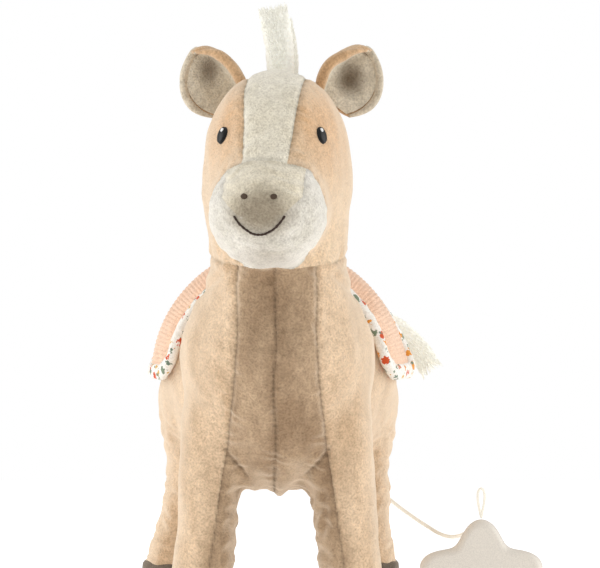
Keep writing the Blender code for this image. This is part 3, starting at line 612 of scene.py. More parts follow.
def flower_print(name):
    """White cotton with a small print of flowers and leaves."""
    made, tree, shader, where = new_material(name, {"Roughness": 0.85, "Sheen Weight": 0.1})
    weave = ((0.3, colour((226, 220, 210))), (0.7, colour((250, 247, 240))))
    base, height = noise_colours(tree, where, 1500.0, weave)
    blur = add(tree, "TexNoise", {"Vector": where, "Scale": 800.0})
    petals = add(tree, "VectorMath", {0: blur.outputs["Color"], 1: (0.0035,) * 3, 2: where},
                 "MULTIPLY_ADD")
    for scale, reach, tones in PRINTS:
        cells = add(tree, "TexVoronoi", {"Vector": petals.outputs[0], "Scale": scale})
        stops = [(position, colour(tone)) for position, tone in tones]
        tone = colour_ramp(tree, cells.outputs["Color"], stops, "CONSTANT")
        inside = add(tree, "Math", {0: cells.outputs["Distance"], 1: reach}, "LESS_THAN")
        base = mix(tree, inside.outputs[0], base, tone)
    put(tree, shader, {"Base Color": base})
    bumped(tree, shader, height, 0.4, 0.0003)
    return made


# Areas of other colours, and areas of painted shade: (centre, half sizes, colour, softness).
# Painted shade: the darker grey-taupe of the muzzle between the nostrils and the mouth.
NOSE_SHADE = (turned_head((0, -90, 178.5), HEAD_YAW), (19, 20, 14.5), (166, 153, 132), 0.75)
# Painted shade under the muzzle.
CHIN_SHADE = (turned_head((0, -82, 157), HEAD_YAW), (19, 24, 13), (196, 186, 171), 0.8)
FACE_SPOTS = tuple(
    (turned_head((side * 22, -50, 213), HEAD_YAW), (18, 40, 29), (226, 180, 132), 0.75)
    for side in (-1, 1))
# Painted shade on the front of the lower front legs.
LEG_SHADE = tuple(
    ((side * 23, -46, 28), (13, 22, 38), (182, 153, 122), 0.75) for side in (-1, 1))
# Painted shade in the hollow of each ear's lining.
EAR_HOLLOW_SHADE = (
    ((-29.0, -25, 240.5), (7.5, 12, 10), (112, 96, 78), 0.9),
    ((30.5, -29, 236.5), (9.5, 12, 12), (116, 100, 80), 0.9),
)

# Each velour's dark and light tones, and its sheen tone: the shader's sheen tint and the painted sheen
# on grazing edges.
SHEEN_TAN = (236, 216, 192)
SHEEN_CREAM = (240, 236, 226)
TAN_TONES = ((208, 177, 143), (235, 206, 173), SHEEN_TAN)
BODY_STREAK = (1.3, 1.3, 0.5)
TAN = velour("tan_velour", *TAN_TONES, rim=0.9, streak=BODY_STREAK)
# The chest's darker velour: darker for its pile direction, and painted shade on the front-facing chest.
SHADED_CHEST_TAN = velour(
    "chest_velour", (162, 134, 105), (197, 169, 138), SHEEN_TAN, rim=0.9, streak=BODY_STREAK)
LEG_TAN = velour("leg_velour", *TAN_TONES, areas=LEG_SHADE, rim=0.9, streak=BODY_STREAK)
FACE = velour(
    "apricot_velour", (218, 185, 148), (239, 211, 177), SHEEN_TAN, areas=FACE_SPOTS, rim=0.9)
CREAM = velour("cream_velour", (234, 225, 203), (248, 241, 223), SHEEN_CREAM, 80.0)
NOSE = velour(
    "nose_velour", (226, 215, 191), (240, 230, 207), SHEEN_CREAM, 80.0, areas=(NOSE_SHADE,))
MUZZLE = velour("muzzle_velour", (218, 212, 198), (238, 233, 223), (244, 240, 232), 90.0,
                areas=(NOSE_SHADE, CHIN_SHADE))
HOOF = velour("taupe_velour", (96, 86, 74), (122, 110, 96), (160, 150, 136), rim=0.4)
LINING = velour("lining_velour", (206, 193, 170), (236, 226, 206), (238, 230, 214),
                areas=EAR_HOLLOW_SHADE, rim=0.7)
EAR = velour("ear_velour", (200, 160, 118), (222, 186, 146), (236, 214, 188))
EAR_RIM = velour("ear_rim_velour", (198, 184, 161), (226, 213, 191), (232, 222, 204))
PEACH = velour("peach_corduroy", (244, 194, 158), (253, 212, 182), (253, 226, 204), 90.0)
FLOWERS = flower_print("flower_cotton")
WHITE_PILE = (248, 246, 236)
# The white pile and the tail glow a little: painted light that keeps them white in the shade.
PILE = plain("white_pile", WHITE_PILE, 0.9, grain=700.0, depth=0.00002, painted_glow=0.16)
TAIL_PILE = plain("tail_pile", WHITE_PILE, 0.9, grain=700.0, depth=0.00002, painted_glow=0.2)
BLACK_THREAD = plain("black_thread", (15, 14, 14), 0.34, grain=2200.0)
BROWN_THREAD = plain("brown_thread", (64, 48, 40), grain=1800.0)
NOSTRIL_THREAD = plain("nostril_thread", (84, 68, 55), 0.7, grain=1800.0)
WHITE_THREAD = plain("white_thread", (248, 248, 246), 0.5, grain=2200.0)
# The cord and the handle below glow a little: painted light.
CORD_COTTON = plain("cream_cord", (244, 239, 226), 0.8, grain=2500.0, depth=0.0001, painted_glow=0.15)
STAR_SATIN = plain(
    "handle_plastic", (228, 220, 208), 0.42, grain=2600.0, depth=0.00004, coat=0.2, painted_glow=0.04)
CASE = plain("case_plastic", (222, 222, 216), 0.45)
BRASS = plain("brass", (196, 160, 92), 0.32, 1.0)
STEEL = plain("spring_steel", (168, 170, 172), 0.3, 1.0)


# ---------------------------------------------------------------- skin

def skin_surface():
    """The stuffed shape as a quad mesh: its points and faces in design millimetres."""
    counts = np.ceil((GRID_HIGH - GRID_LOW) / VOXEL).astype(int)
    axes = [GRID_LOW[i] + VOXEL * np.arange(counts[i]) for i in range(3)]
    values = np.empty(counts, np.float32)
    for index, x in enumerate(axes[0]):
        sheet = np.stack(np.meshgrid([x], axes[1], axes[2], indexing="ij"), -1).astype(np.float32)
        values[index] = horse_field(sheet)[0]
    grid = openvdb.FloatGrid(background=10.0)
    grid.copyFromArray(values)
    points, quads = grid.convertToQuads(isovalue=0.0)
    points = np.array(points, float) * VOXEL + GRID_LOW
    return points, np.array(quads, int)


def relaxed(points, quads, rounds=2):
    """Evens the mesh out by moving each point towards its neighbours' middle."""
    ends = np.concatenate([quads[:, [i, (i + 1) % 4]] for i in range(4)])
    count = np.bincount(ends.ravel(), minlength=len(points))
    for _ in range(rounds):
        total = np.zeros_like(points)
        for axis in range(3):
            total[:, axis] = np.bincount(ends[:, 0], points[ends[:, 1], axis], len(points))
            total[:, axis] += np.bincount(ends[:, 1], points[ends[:, 0], axis], len(points))
        points = points * 0.5 + total / count[:, None] * 0.5
    return points


PANELS = (
    "blaze_skin", "nose_skin", "muzzle_skin_left", "muzzle_skin_right",
    "head_skin_left", "head_skin_right", "chest_skin_left", "chest_skin_right",
    "side_skin_left", "side_skin_right", "belly_skin",
    "leg_skin_front_left", "leg_skin_front_right", "leg_skin_hind_left", "leg_skin_hind_right",
)


def panel_of(p):
    """The index in PANELS of each point's panel."""
    h = turned_head(p, -HEAD_YAW)
    x, y, z = p.T
    on_head = neck_seam(p) > 0
    muzzle = on_head & (muzzle_seam(h) < 0)
    other = (x < 0).astype(int)
    panel = 8 + other
    panel[(y < -4) & (np.abs(x) < chest_seam_reach(z))] = 6
    panel[panel == 6] += other[panel == 6]
    panel[(z < 70) & (np.abs(x) < 20) & (y > -30)] = 10
    low = (z < LEG_TOP) & (np.abs(x) > 10)
    panel[low] = (np.where(y < 5, 11, 13) + other)[low]
    panel[on_head] = (4 + (h[:, 0] < 0))[on_head]
    panel[on_head & (blaze_seam(h) < 0) & (h[:, 1] < -24) & (z > 180) & ~muzzle] = 0
    panel[muzzle] = (2 + (h[:, 0] < 0))[muzzle]
    panel[muzzle & (nose_seam(h) < 0) & (z > 177)] = 1
    return panel


def seams_between(p):
    """The distances that bound the panels, for moving a border's points onto its seam."""
    h = turned_head(p, -HEAD_YAW)
    return np.stack([
        neck_seam(p), muzzle_seam(h), blaze_seam(h), nose_seam(h), p[:, 0], h[:, 0],
        np.abs(p[:, 0]) - chest_seam_reach(p[:, 2]), p[:, 2] - LEG_TOP,
    ])


def pull_to_seams(points, quads, panel):
    """Moves the points that two panels share onto the nearest seam, so that borders run smoothly."""
    low = np.full(len(points), 99)
    high = np.full(len(points), -1)
    for corner in range(4):
        np.minimum.at(low, quads[:, corner], panel)
        np.maximum.at(high, quads[:, corner], panel)
    border = np.nonzero(low != high)[0]
    count = np.arange(len(border))
    for _ in range(2):
        p = points[border]
        nearest = np.abs(seams_between(p)).argmin(0)

        def chosen(places):
            return seams_between(places)[nearest, count]

        value, slopes = chosen(p), slope_of(chosen, p, 0.3)
        size = np.maximum((slopes ** 2).sum(1), 0.2)
        move = slopes * (value / size)[:, None]
        move[np.abs(value) > 1.1 * VOXEL] = 0
        points[border] = p - move
    return points


def build_skin():
    """All sewn panels of the body and head, as separate pieces."""
    points, quads = skin_surface()
    points, normals = on_skin(relaxed(points, quads), 1)
    panel = panel_of(points[quads].mean(1))
    points = pull_to_seams(points, quads, panel)
    shade = painted_seam_shade(points)
    points = points + normals * relief(points)[:, None]
    across = points[quads[:, 1]] - points[quads[:, 0]]
    along = points[quads[:, 3]] - points[quads[:, 0]]
    if (np.cross(across, along) * normals[quads[:, 0]]).sum(1).mean() < 0:
        quads = quads[:, ::-1]
    keep = points[quads].mean(1)[:, 2] > HOOF_TOP - 0.5
    pieces = {}
    for index, name in enumerate(PANELS):
        used, faces = np.unique(quads[keep & (panel == index)], return_inverse=True)
        piece = new_mesh(name, points[used], faces.reshape(-1, 4), skin_material(name))
        if "leg_skin_front" in name:
            shade_inner_leg(piece)
        # The seam attribute: stitched lines and painted shade in the seam grooves.
        layer = piece.data.attributes.new("seam", "FLOAT", "POINT")
        layer.data.foreach_set("value", shade[used].astype(np.float32))
        pieces[name] = piece
    return pieces


def shade_inner_leg(piece):
    """Gives a front leg's inner panel, inside its seam, the chest's darker velour: its pile direction
    and painted shade.
    """
    piece.data.materials.append(SHADED_CHEST_TAN)
    for polygon in piece.data.polygons:
        x, _, z = (np.array(polygon.center) - SHIFT) * 1000
        polygon.material_index = int(abs(x) < chest_seam_reach(z))


def skin_material(name):
    if name.startswith("leg"):
        return LEG_TAN
    starts = {"head": FACE, "muzzle": MUZZLE, "chest": SHADED_CHEST_TAN, "blaze": CREAM, "nose": NOSE}
    return starts.get(name.split("_")[0], TAN)


HEAD_NODES = {
    "blaze_skin": ("blaze_panel", "head_stuffing"),
    "nose_skin": ("nose_panel",),
    "muzzle_skin_left": ("muzzle_side_left",),
    "muzzle_skin_right": ("muzzle_side_right",),
}


def dress_skin(pieces):
    """Attaches each panel to what it moves with, or bakes it in place where a bend is given, and hides
    the CAD solids it stands for.
    """
    hip_bend = (spot(0, 0, LEG_TOP), spot(0, 0, LEG_TOP - 18))
    for name, piece in pieces.items():
        kind, *_, side = name.split("_")
        slot, body, bend = "tan_plush", "head", NECK_BEND
        if kind == "leg":
            limb = name.removeprefix("leg_skin_")
            body, bend, nodes = f"leg_{limb}", hip_bend, (f"cover_{limb}", f"stuffing_{limb}")
        elif kind == "belly":
            body, bend, nodes = "torso", None, ("belly_panel", "body_stuffing")
        elif name in HEAD_NODES:
            slot, bend, nodes = "cream_plush", None, HEAD_NODES[name]
        else:
            nodes = (f"head_side_{side}" if kind == "head" else f"{kind}_panel_{side}",)
        belongs(piece, body, slot, *nodes, bend=bend, fill=0.75)


# A hoof's outline from its top to its sole: (height, how far outside the foot's radius).
HOOF_OUTLINE = (
    (26.5, -1.6), (25.6, -0.3), (24.6, 0.5), (22, 0.7), (14, 1.0), (6, 1.7), (2.4, 1.7),
    (0.7, 0.9), (0.1, -0.8), (0.0, -4.0),
)
HOOF_STEPS = 64


def build_hoof(pair, side, foot, foot_radius):
    """A dark plush hoof with a flat sole."""
    rows = []
    for z, extra in HOOF_OUTLINE:
        middle = foot[0] + 0.6 * side * (1 - z / 25)
        for step in range(HOOF_STEPS):
            angle = 2 * math.pi * step / HOOF_STEPS
            wobble = 0.18 * math.sin(5 * angle + z / 3) + 0.12 * math.sin(9 * angle)
            reach = foot_radius + extra + wobble
            rows.append((middle + reach * math.cos(angle), foot[1] + reach * math.sin(angle), z))
    faces = grid_faces(len(HOOF_OUTLINE), HOOF_STEPS, closed=True)
    faces.append(tuple(range(len(rows) - HOOF_STEPS, len(rows))))
    word = f"{pair}_{side_word(side)}"
    hoof = new_mesh(f"plush_hoof_{word}", rows, [tuple(reversed(f)) for f in faces], HOOF)
    belongs(hoof, f"leg_{word}", "taupe_plush", f"hoof_{word}", fill=0.8)


# ---------------------------------------------------------------- face

PATCH_STEPS = 24


def skin_patch(name, centre, semi, tilt, rise, tone, rings=7, lift=0.35):
    """A small domed oval of stitching on the skin, seen from the front at centre."""
    middle, normal = (found[0] for found in on_skin([seen_from(*centre)]))
    level = unit(np.cross((0, 0, 1.0), normal))
    upright = np.cross(normal, level)
    turn = math.radians(tilt)
    wide = level * math.cos(turn) + upright * math.sin(turn)
    high = upright * math.cos(turn) - level * math.sin(turn)
    flat = [middle]
    heights = [lift + rise]
    for ring in range(1, rings + 1):
        share = ring / rings
        sunk = 1.2 if ring == rings else 0
        for cosine, sine in circle(PATCH_STEPS):
            flat.append(middle + (wide * semi[0] * cosine + high * semi[1] * sine) * share)
            heights.append(lift + rise * math.sqrt(max(1 - share ** 2, 0)) - sunk)
    placed, normals = on_skin(flat, 2)
    placed = placed + normals * (np.array(heights) + relief(placed))[:, None]
    faces = [(0, 1 + step, 1 + (step + 1) % PATCH_STEPS) for step in range(PATCH_STEPS)]
    for face in grid_faces(rings, PATCH_STEPS, closed=True):
        a, b, c, d = (corner + 1 for corner in face)
        faces.append((a, d, c, b))
    return new_mesh(name, placed, faces, tone)


SMILE_POINTS = 56


def build_face():
    """Embroidered eyes with a glint, nostrils and a stitched smile."""
    for side, x, half in ((-1, -21.9, 2.9), (1, 18.3, 2.75)):
        word = side_word(side)
        eye = skin_patch(
            f"stitched_eye_{word}", (x, 210.6), (half, 4.1), -6 * side, 1.0, BLACK_THREAD)
        belongs(eye, "head", "black_thread", f"eye_{word}")
        glint = skin_patch(f"eye_glint_{word}", (x - 0.55 * side, 212.5), (0.85, 1.15), 0, 0.35,
                           WHITE_THREAD, 3, 1.25)
        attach(glint, "head")
    for side, x in ((-1, -12.5), (1, -0.9)):
        word = side_word(side)
        nostril = skin_patch(f"stitched_nostril_{word}", (x, 184.6), (1.55, 1.25), 8 * side, 0.45,
                             NOSTRIL_THREAD)
        belongs(nostril, "head", "brown_thread", f"nostril_{word}")
    smile = [seen_from(x, 169.8 + 7.2 * abs((x + 6.4) / 9.95) ** 2.1)
             for x in np.linspace(-16.3, 3.5, SMILE_POINTS)]
    line, normals = on_skin(smile, 3)
    line = line + normals * (0.15 + relief(line))[:, None]
    radii = 0.36 + 0.14 * np.abs(np.sin(np.arange(SMILE_POINTS) * math.pi / 4))
    mouth = tube("stitched_mouth", line, radii, BROWN_THREAD, 8)
    belongs(mouth, "head", "brown_thread", "mouth_stitch")


# ---------------------------------------------------------------- ears

EAR_LENGTH = 27.5
EAR_HALF_WIDTH = 13.8
EAR_LEAN = math.radians(36)
EAR_ROWS, EAR_COLUMNS = 30, 33
EAR_THICKNESS = 2.6


def ear_point(side, u, v):
    """A point of the cupped ear: u along it from root to tip, v across it."""
    half = EAR_HALF_WIDTH * math.sin(math.pi * min(max((u + 0.20) / 1.205, 0), 1)) ** 0.58
    inward = v * -side
    curl = 0.55 + 0.25 * inward
    bend = v * curl
    reach = half * math.sin(bend * 1.2) / 1.2 / max(curl, 0.3) * (1.12 if inward < 0 else 0.98)
    forward = half * (1 - math.cos(bend * 1.75)) * 0.75
    if inward > 0.45:
        roll = (inward - 0.45) / 0.55
        forward += 3.0 * roll
        reach -= math.copysign(2.8 * roll ** 2, v)
    hollow = 2.5 * math.sin(math.pi * min(max(u, 0), 1)) - forward
    root = turned_head((side * 22.3, -27, 229.0), HEAD_YAW)
    along = np.array((side * math.sin(EAR_LEAN), 0, math.cos(EAR_LEAN)))
    across = np.array((math.cos(EAR_LEAN), 0, -side * math.sin(EAR_LEAN)))
    back = np.array((0, hollow + 3.0 * u * u, 0))
    return root + along * EAR_LENGTH * (u - 0.12) + across * reach + back


def build_ear(side):
    """A thick outer leaf and a lining with painted shade in its hollow, the outer edge rolled and the
    inner one folded.
    """
    word, body = side_word(side), f"ear_{side_word(side)}"
    u = np.linspace(0, 1, EAR_ROWS)
    v = np.linspace(-1, 1, EAR_COLUMNS)
    front = np.array([[ear_point(side, row, column) for column in v] for row in u])
    normal = np.cross(np.gradient(front, axis=1), np.gradient(front, axis=0))
    normal /= np.maximum(np.linalg.norm(normal, axis=2, keepdims=True), 1e-6)
    if normal[EAR_ROWS // 2, EAR_COLUMNS // 2, 1] < 0:
        normal = -normal
    edge = np.clip(1 - np.maximum(np.abs(v), ((u - 0.55) / 0.45)[:, None]) ** 6, 0, 1)
    back = front + normal * (EAR_THICKNESS * (0.35 + 0.65 * edge))[..., None]
    uneven = ripple(front.reshape(-1, 3), MIDDLE_WAVES).reshape(EAR_ROWS, EAR_COLUMNS) * 0.35
    front = front + normal * uneven[..., None]
    shell = thick_sheet(f"ear_shell_{word}", front.reshape(-1, 3), back.reshape(-1, 3),
                        EAR_ROWS, EAR_COLUMNS, EAR)
    belongs(shell, body, "tan_plush", f"ear_outer_{word}", fill=0.4)
    middle = front[:, EAR_COLUMNS // 2:EAR_COLUMNS // 2 + 1, :]
    inner = middle + (front - middle) * 0.86 - normal * 0.45
    lining = new_mesh(f"ear_inner_{word}", inner[:-2].reshape(-1, 3),
                      grid_faces(EAR_ROWS - 2, EAR_COLUMNS), LINING)
    recalculate(lining)
    belongs(lining, body, "ear_lining", f"ear_lining_{word}")
    outline = np.concatenate([front[:, 0], front[-1, 1:-1], front[::-1, -1]])
    if side > 0:
        outline = outline[::-1]
    for _ in range(6):
        outline[1:-1] = (outline[:-2] + outline[1:-1] * 2 + outline[2:]) / 4
    split = int(len(outline) * 0.7)
    for name, line, shares, widths, tone, slot in (
        ("rim", outline[:split], (0, 0.15, 0.85, 1), (0.6, 1.7, 1.6, 0.5), EAR_RIM, "ear_lining"),
        ("fold", outline[split - 2:], (0, 0.3, 0.8, 1), (0.5, 2.3, 2.4, 1.8), EAR, "tan_plush"),
    ):
        radii = np.interp(np.linspace(0, 1, len(line)), shares, widths)
        belongs(tube(f"ear_{name}_{word}", line, radii, tone), body, slot)


# ---------------------------------------------------------------- pile tufts

HAIR_SIDES = circle(3)


def pile_strands(name, roots, tips, width, tone, bend=1.2):
    """Many short tapered hairs, each a bent three-sided strand from root to tip."""
    rows, faces = [], []
    for root, tip in zip(roots, tips):
        sag = np.array([dice.uniform(-bend, bend) for _ in range(3)])
        along = tip - root
        wide = unit(np.cross(along, (dice.uniform(-1, 1), 1.0, dice.uniform(-1, 1))))
        deep = unit(np.cross(along, wide))
        start = len(rows)
        for share, thick in ((0, 1.0), (0.4, 0.95), (0.75, 0.7), (1.0, 0.22)):
            middle = root + along * share + sag * math.sin(math.pi * share * 0.7)
            for cosine, sine in HAIR_SIDES:
                rows.append(middle + (wide * cosine + deep * sine) * width * thick)
        for level in range(3):
            for step in range(3):
                here, after = start + level * 3 + step, start + level * 3 + (step + 1) % 3
                faces.append((here, after, after + 3, here + 3))
        faces.append((start + 9, start + 10, start + 11))
    return new_mesh(name, rows, faces, tone)


def along_line(line, distance):
    """The point at a distance counted in the line's points, and the index before it."""
    index = min(int(distance), len(line) - 2)
    part = distance - index
    return line[index] * (1 - part) + line[index + 1] * part, index


def spread(values, count):
    """A short list stretched to a number of values."""
    return np.interp(np.linspace(0, 1, count), np.linspace(0, 1, len(values)), values)


STRIP_FLATNESS = 0.55


def clump(line, widths, count, out, fringe):
    """Roots and tips of the pile on a flat strip along a line."""
    tangents = tangents_of(line)
    stations = np.linspace(0, 1, len(widths))
    roots, tips = [], []
    for _ in range(count):
        distance = dice.random() ** 0.8 * (len(line) - 1)
        centre, index = along_line(line, distance)
        share = distance / (len(line) - 1)
        tangent = tangents[index]
        wide = unit(np.cross(tangent, (0, 1, 0)))
        deep = np.cross(tangent, wide)
        angle = dice.uniform(0, 2 * math.pi)
        width = np.interp(share, stations, widths)
        away = wide * math.cos(angle) * width + deep * math.sin(angle) * width * STRIP_FLATNESS
        reach = out * dice.uniform(0.6, 1.15) * (1 + fringe * share ** 2)
        root = centre + away * 0.72
        roots.append(root)
        tips.append(root + unit(away) * reach * 0.75 + tangent * reach * (0.9 + 1.4 * share))
    return roots, tips


def pile_strip(names, route, widths, count, out, fringe, hair, bend, tone):
    """A flat strip of pile along a route: its hairs and, inside them, its core."""
    line = route_through(route, 6)
    roots, tips = clump(line, widths, count, out, fringe)
    hairs = pile_strands(names[0], roots, tips, hair, tone, bend)
    radii = spread(widths, len(line)) * 0.93
    return hairs, tube(names[1], line, radii, tone, 18, 0.5, (0.05, 1, 0.02), 0.12)


# The forelock's front and rear strip: the middle line's points, and the half widths.
FORELOCK = (
    (((1.4, -30.0, 234.0), (1.3, -29.5, 245.0), (0.1, -29.0, 254.0), (-1.4, -28.5, 263.2)),
     (6.1, 6.3, 6.5, 6.7)),
    (((5.0, -24.0, 234.0), (5.0, -23.5, 243.0), (4.2, -23.0, 251.0), (3.0, -22.5, 258.5)),
     (3.6, 4.0, 3.8, 3.0)),
)


def build_forelock():
    """Two upright strips of white pile between the ears."""
    for number, (route, widths) in enumerate(FORELOCK, 1):
        names = (f"forelock_pile_{number}", f"forelock_core_{number}")
        for piece in pile_strip(names, route, widths, 3600, 1.3, 0.3, 0.29, 0.25, PILE):
            belongs(piece, "head", "white_pile", "forelock")


def build_mane():
    """A low strip of pile down the back of the head and neck."""
    middle = turned_head((0, 30, 0), HEAD_YAW)[0]
    start = [seen_from(middle, z, 20, -60) for z in np.linspace(172, 233, 15)]
    line, normals = on_skin(start, 3)
    line = line + normals * 0.6
    roots, tips = [], []
    for _ in range(2400):
        centre, index = along_line(line, dice.random() * (len(line) - 1.01))
        across = dice.uniform(-3.4, 3.4)
        root = centre + np.array((across, 0, 0))
        roots.append(root)
        stand = normals[index] * dice.uniform(2.0, 3.4)
        tips.append(root + stand + np.array((across * 0.25, 0, -dice.uniform(1.5, 3.5))))
    mane = pile_strands("mane_pile", roots, tips, 0.25, PILE, 0.3)
    belongs(mane, "head", "white_pile", "mane", bend=NECK_BEND)


# The tail's middle line from inside the rump to its tip, and its half widths.
TAIL_ROUTE = (
    (-1, 56, 141.0), (1, 67, 145.0), (8, 78.5, 146.0), (20, 84.5, 143.5),
    (36, 86.0, 139.0), (52, 85.5, 130.5), (62, 84.0, 122.0), (69.0, 82.5, 112.5),
)
TAIL_WIDTHS = (3.6, 4.2, 4.8, 5.0, 5.2, 5.4, 5.4, 5.4)


def build_tail():
    """A strip of white pile that leaves the rump and hangs to the horse's left."""
    names = ("tail_pile", "tail_core")
    bend = (spot(0, 66, 144), spot(4, 77, 146))
    for piece in pile_strip(names, TAIL_ROUTE, TAIL_WIDTHS, 4600, 1.4, 0.4, 0.24, 0.4, TAIL_PILE):
        belongs(piece, "tail", "white_pile", "tail", bend=bend)


# ---------------------------------------------------------------- saddle cloth

def trunk_reach(angles, ys):
    """How far the skin is from the trunk's axis at each angle from straight up."""
    directions = np.stack([np.sin(angles), np.zeros_like(angles), np.cos(angles)], 1)
    centres = np.stack([np.zeros_like(ys), ys, np.full_like(ys, SADDLE_Z)], 1)
    low, high = np.full(len(ys), 25.0), np.full(len(ys), 66.0)
    for _ in range(18):
        middle = (low + high) / 2
        inside = torso_field(centres + directions * middle[:, None]) < 0
        low, high = np.where(inside, middle, low), np.where(inside, high, middle)
    return low


def saddle_gap(angles, ys):
    """How far the cloth stands off the skin: a little on the back, more down the flaps."""
    down = smoothstep(math.radians(44), SADDLE_HEM, np.abs(angles))
    flare = np.where(angles > 0, 2.6 * smoothstep(24, 46, ys), 0.4 * smoothstep(4, 46, ys))
    return 1.0 + 0.9 * down + flare * down


def saddle_points(angles, ys, height):
    """Points of the cloth, height above its underside."""
    reach = trunk_reach(angles, ys) + saddle_gap(angles, ys) + height
    return np.stack([np.sin(angles) * reach, ys, SADDLE_Z + np.cos(angles) * reach], 1)


def saddle_edges(angle):
    """The cloth's front and back edge at an angle: the hem's corners are round."""
    corner = math.radians(13)
    t = min(max((abs(angle) - (SADDLE_HEM - corner)) / corner, 0), 1)
    inset = 9.5 * (1 - math.sqrt(max(1 - t * t, 0)))
    return SADDLE_Y[0] + inset, SADDLE_Y[1] - inset


CLOTH_RADIUS = 54.0
CLOTH_COLUMNS = 22
CLOTH_THICKNESS = 2.6
RIB_PITCH, RIB_HEIGHT = 1.9, 0.42


def cloth_piece(name, first, last):
    """A ribbed corduroy panel from one angle to another, its ribs running front to back."""
    rows = int(abs(last - first) * CLOTH_RADIUS / 0.32)
    angles, ys = [], []
    for row in range(rows + 1):
        angle = first + (last - first) * row / rows
        front, back = saddle_edges(angle)
        for column in range(CLOTH_COLUMNS):
            angles.append(angle)
            ys.append(front + (back - front) * column / (CLOTH_COLUMNS - 1))
    angles, ys = np.array(angles), np.array(ys)
    ribs = RIB_HEIGHT * np.abs(np.cos(math.pi * angles * CLOTH_RADIUS / RIB_PITCH)) ** 0.8
    top = saddle_points(angles, ys, CLOTH_THICKNESS + ribs)
    under = saddle_points(angles, ys, np.zeros(len(ys)))
    return thick_sheet(name, top, under, rows + 1, CLOTH_COLUMNS, PEACH)


BORDER_SIDES = 16
BORDER_INSET = 1.2
BORDER_HALF_WIDTH, BORDER_HALF_HEIGHT = 3.6, 2.5


def border_piece(name, angles, ys):
    """A padded band of printed cotton along a line of the cloth."""
    angles, ys = np.array(angles), np.array(ys)
    height = 1.6 + 1.6 * smoothstep(30, 44, ys) * (angles > SADDLE_FOLD)
    line = saddle_points(angles, ys, height)
    outward = np.stack([np.sin(angles), np.zeros(len(ys)), np.cos(angles)], 1)
    rows = []
    for centre, tangent, high in zip(line, tangents_of(line), outward):
        high = unit(high - tangent * np.dot(high, tangent))
        wide = np.cross(tangent, high)
        for cosine, sine in circle(BORDER_SIDES):
            across = wide * BORDER_HALF_WIDTH * math.copysign(abs(cosine) ** 0.8, cosine)
            rows.append(centre + across
                        + high * BORDER_HALF_HEIGHT * math.copysign(abs(sine) ** 0.8, sine))
    rows = np.array(rows)
    rows += 0.16 * ripple(rows, FINE_WAVES)[:, None] * np.repeat(outward, BORDER_SIDES, 0)
    piece = new_mesh(name, rows, barrel_faces(len(line), BORDER_SIDES), FLOWERS)
    recalculate(piece)
    return piece


def flap_border_line(side):
    """The angles and ys of a flap's border: down its front edge, along its hem and up again."""
    angles, ys = [], []
    for t in np.linspace(0, 1, 50):
        angle = SADDLE_FOLD + (SADDLE_HEM - math.radians(2.0) - SADDLE_FOLD) * t
        angles.append(side * angle)
        ys.append(saddle_edges(angle + math.radians(1.0))[0] + BORDER_INSET)
    both_edges = SADDLE_Y[0] + SADDLE_Y[1]
    hem = np.linspace(ys[-1] + 1.5, both_edges - ys[-1] - 1.5, 14)
    back = [both_edges - y for y in reversed(ys)]
    angles = angles + [side * (SADDLE_HEM - math.radians(1.0))] * len(hem) + angles[::-1]
    return angles, ys + list(hem) + back


def build_saddle():
    """The padded cloth over the back and its two flaps, each with printed borders."""
    over = np.linspace(-SADDLE_FOLD, SADDLE_FOLD, 60)
    front = np.full(60, SADDLE_Y[0] + BORDER_INSET)
    back = np.full(60, SADDLE_Y[1] - BORDER_INSET)
    for piece in (cloth_piece("saddle_cloth", -SADDLE_FOLD, SADDLE_FOLD),
                  border_piece("saddle_border_front", over, front),
                  border_piece("saddle_border_back", over, back)):
        belongs(piece, "torso", "saddle_cotton", "saddle_centre", fill=0.4)
    for side in (-1, 1):
        word = side_word(side)
        node = f"saddle_flap_{word}"
        low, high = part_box(node)
        hinge = Vector((high.x if side < 0 else low.x, (low.y + high.y) / 2, high.z))
        bend = (hinge, hinge + Vector((side * 0.004, 0, -0.006)))
        for piece in (cloth_piece(f"flap_cloth_{word}", side * SADDLE_FOLD, side * SADDLE_HEM),
                      border_piece(f"flap_border_{word}", *flap_border_line(side))):
            belongs(piece, f"flap_{word}", "saddle_cotton", node, bend=bend, fill=0.4)


# ---------------------------------------------------------------- cord and handle

# A rounded star stands 1.87 of its point radius high.
STAR_HEIGHT_IN_RADII = 1.87
STAR_RIM = 0.0022
STAR_STEPS, STAR_RINGS = 160, 19


def build_handle():
    """The star handle, plain and rounded, in metres."""
    low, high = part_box("pull_handle")
    radius = (high.z - low.z) / STAR_HEIGHT_IN_RADII
    middle = Vector(((low.x + high.x) / 2, (low.y + high.y) / 2, high.z - radius))
    points = []
    for ring in range(STAR_RINGS):
        turn = math.pi * ring / (STAR_RINGS - 1)
        inset = STAR_RIM * 1.6 * (1 - math.sin(turn))
        y = -(high.y - low.y) / 2 * math.cos(turn)
        for step in range(STAR_STEPS):
            angle = 2 * math.pi * step / STAR_STEPS
            between_points = abs(math.sin(2.5 * angle)) ** 2.0
            reach = (radius - STAR_RIM) * (1 - 0.31 * between_points) + STAR_RIM - inset
            points.append(middle + Vector((reach * math.sin(angle), y, reach * math.cos(angle))))
    star = metre_mesh("star_handle", points, barrel_faces(STAR_RINGS, STAR_STEPS), STAR_SATIN)
    recalculate(star)
    for polygon in star.data.polygons:
        polygon.use_smooth = len(polygon.vertices) == 4
    belongs(star, "handle", "handle_plastic", "pull_handle")
    return star


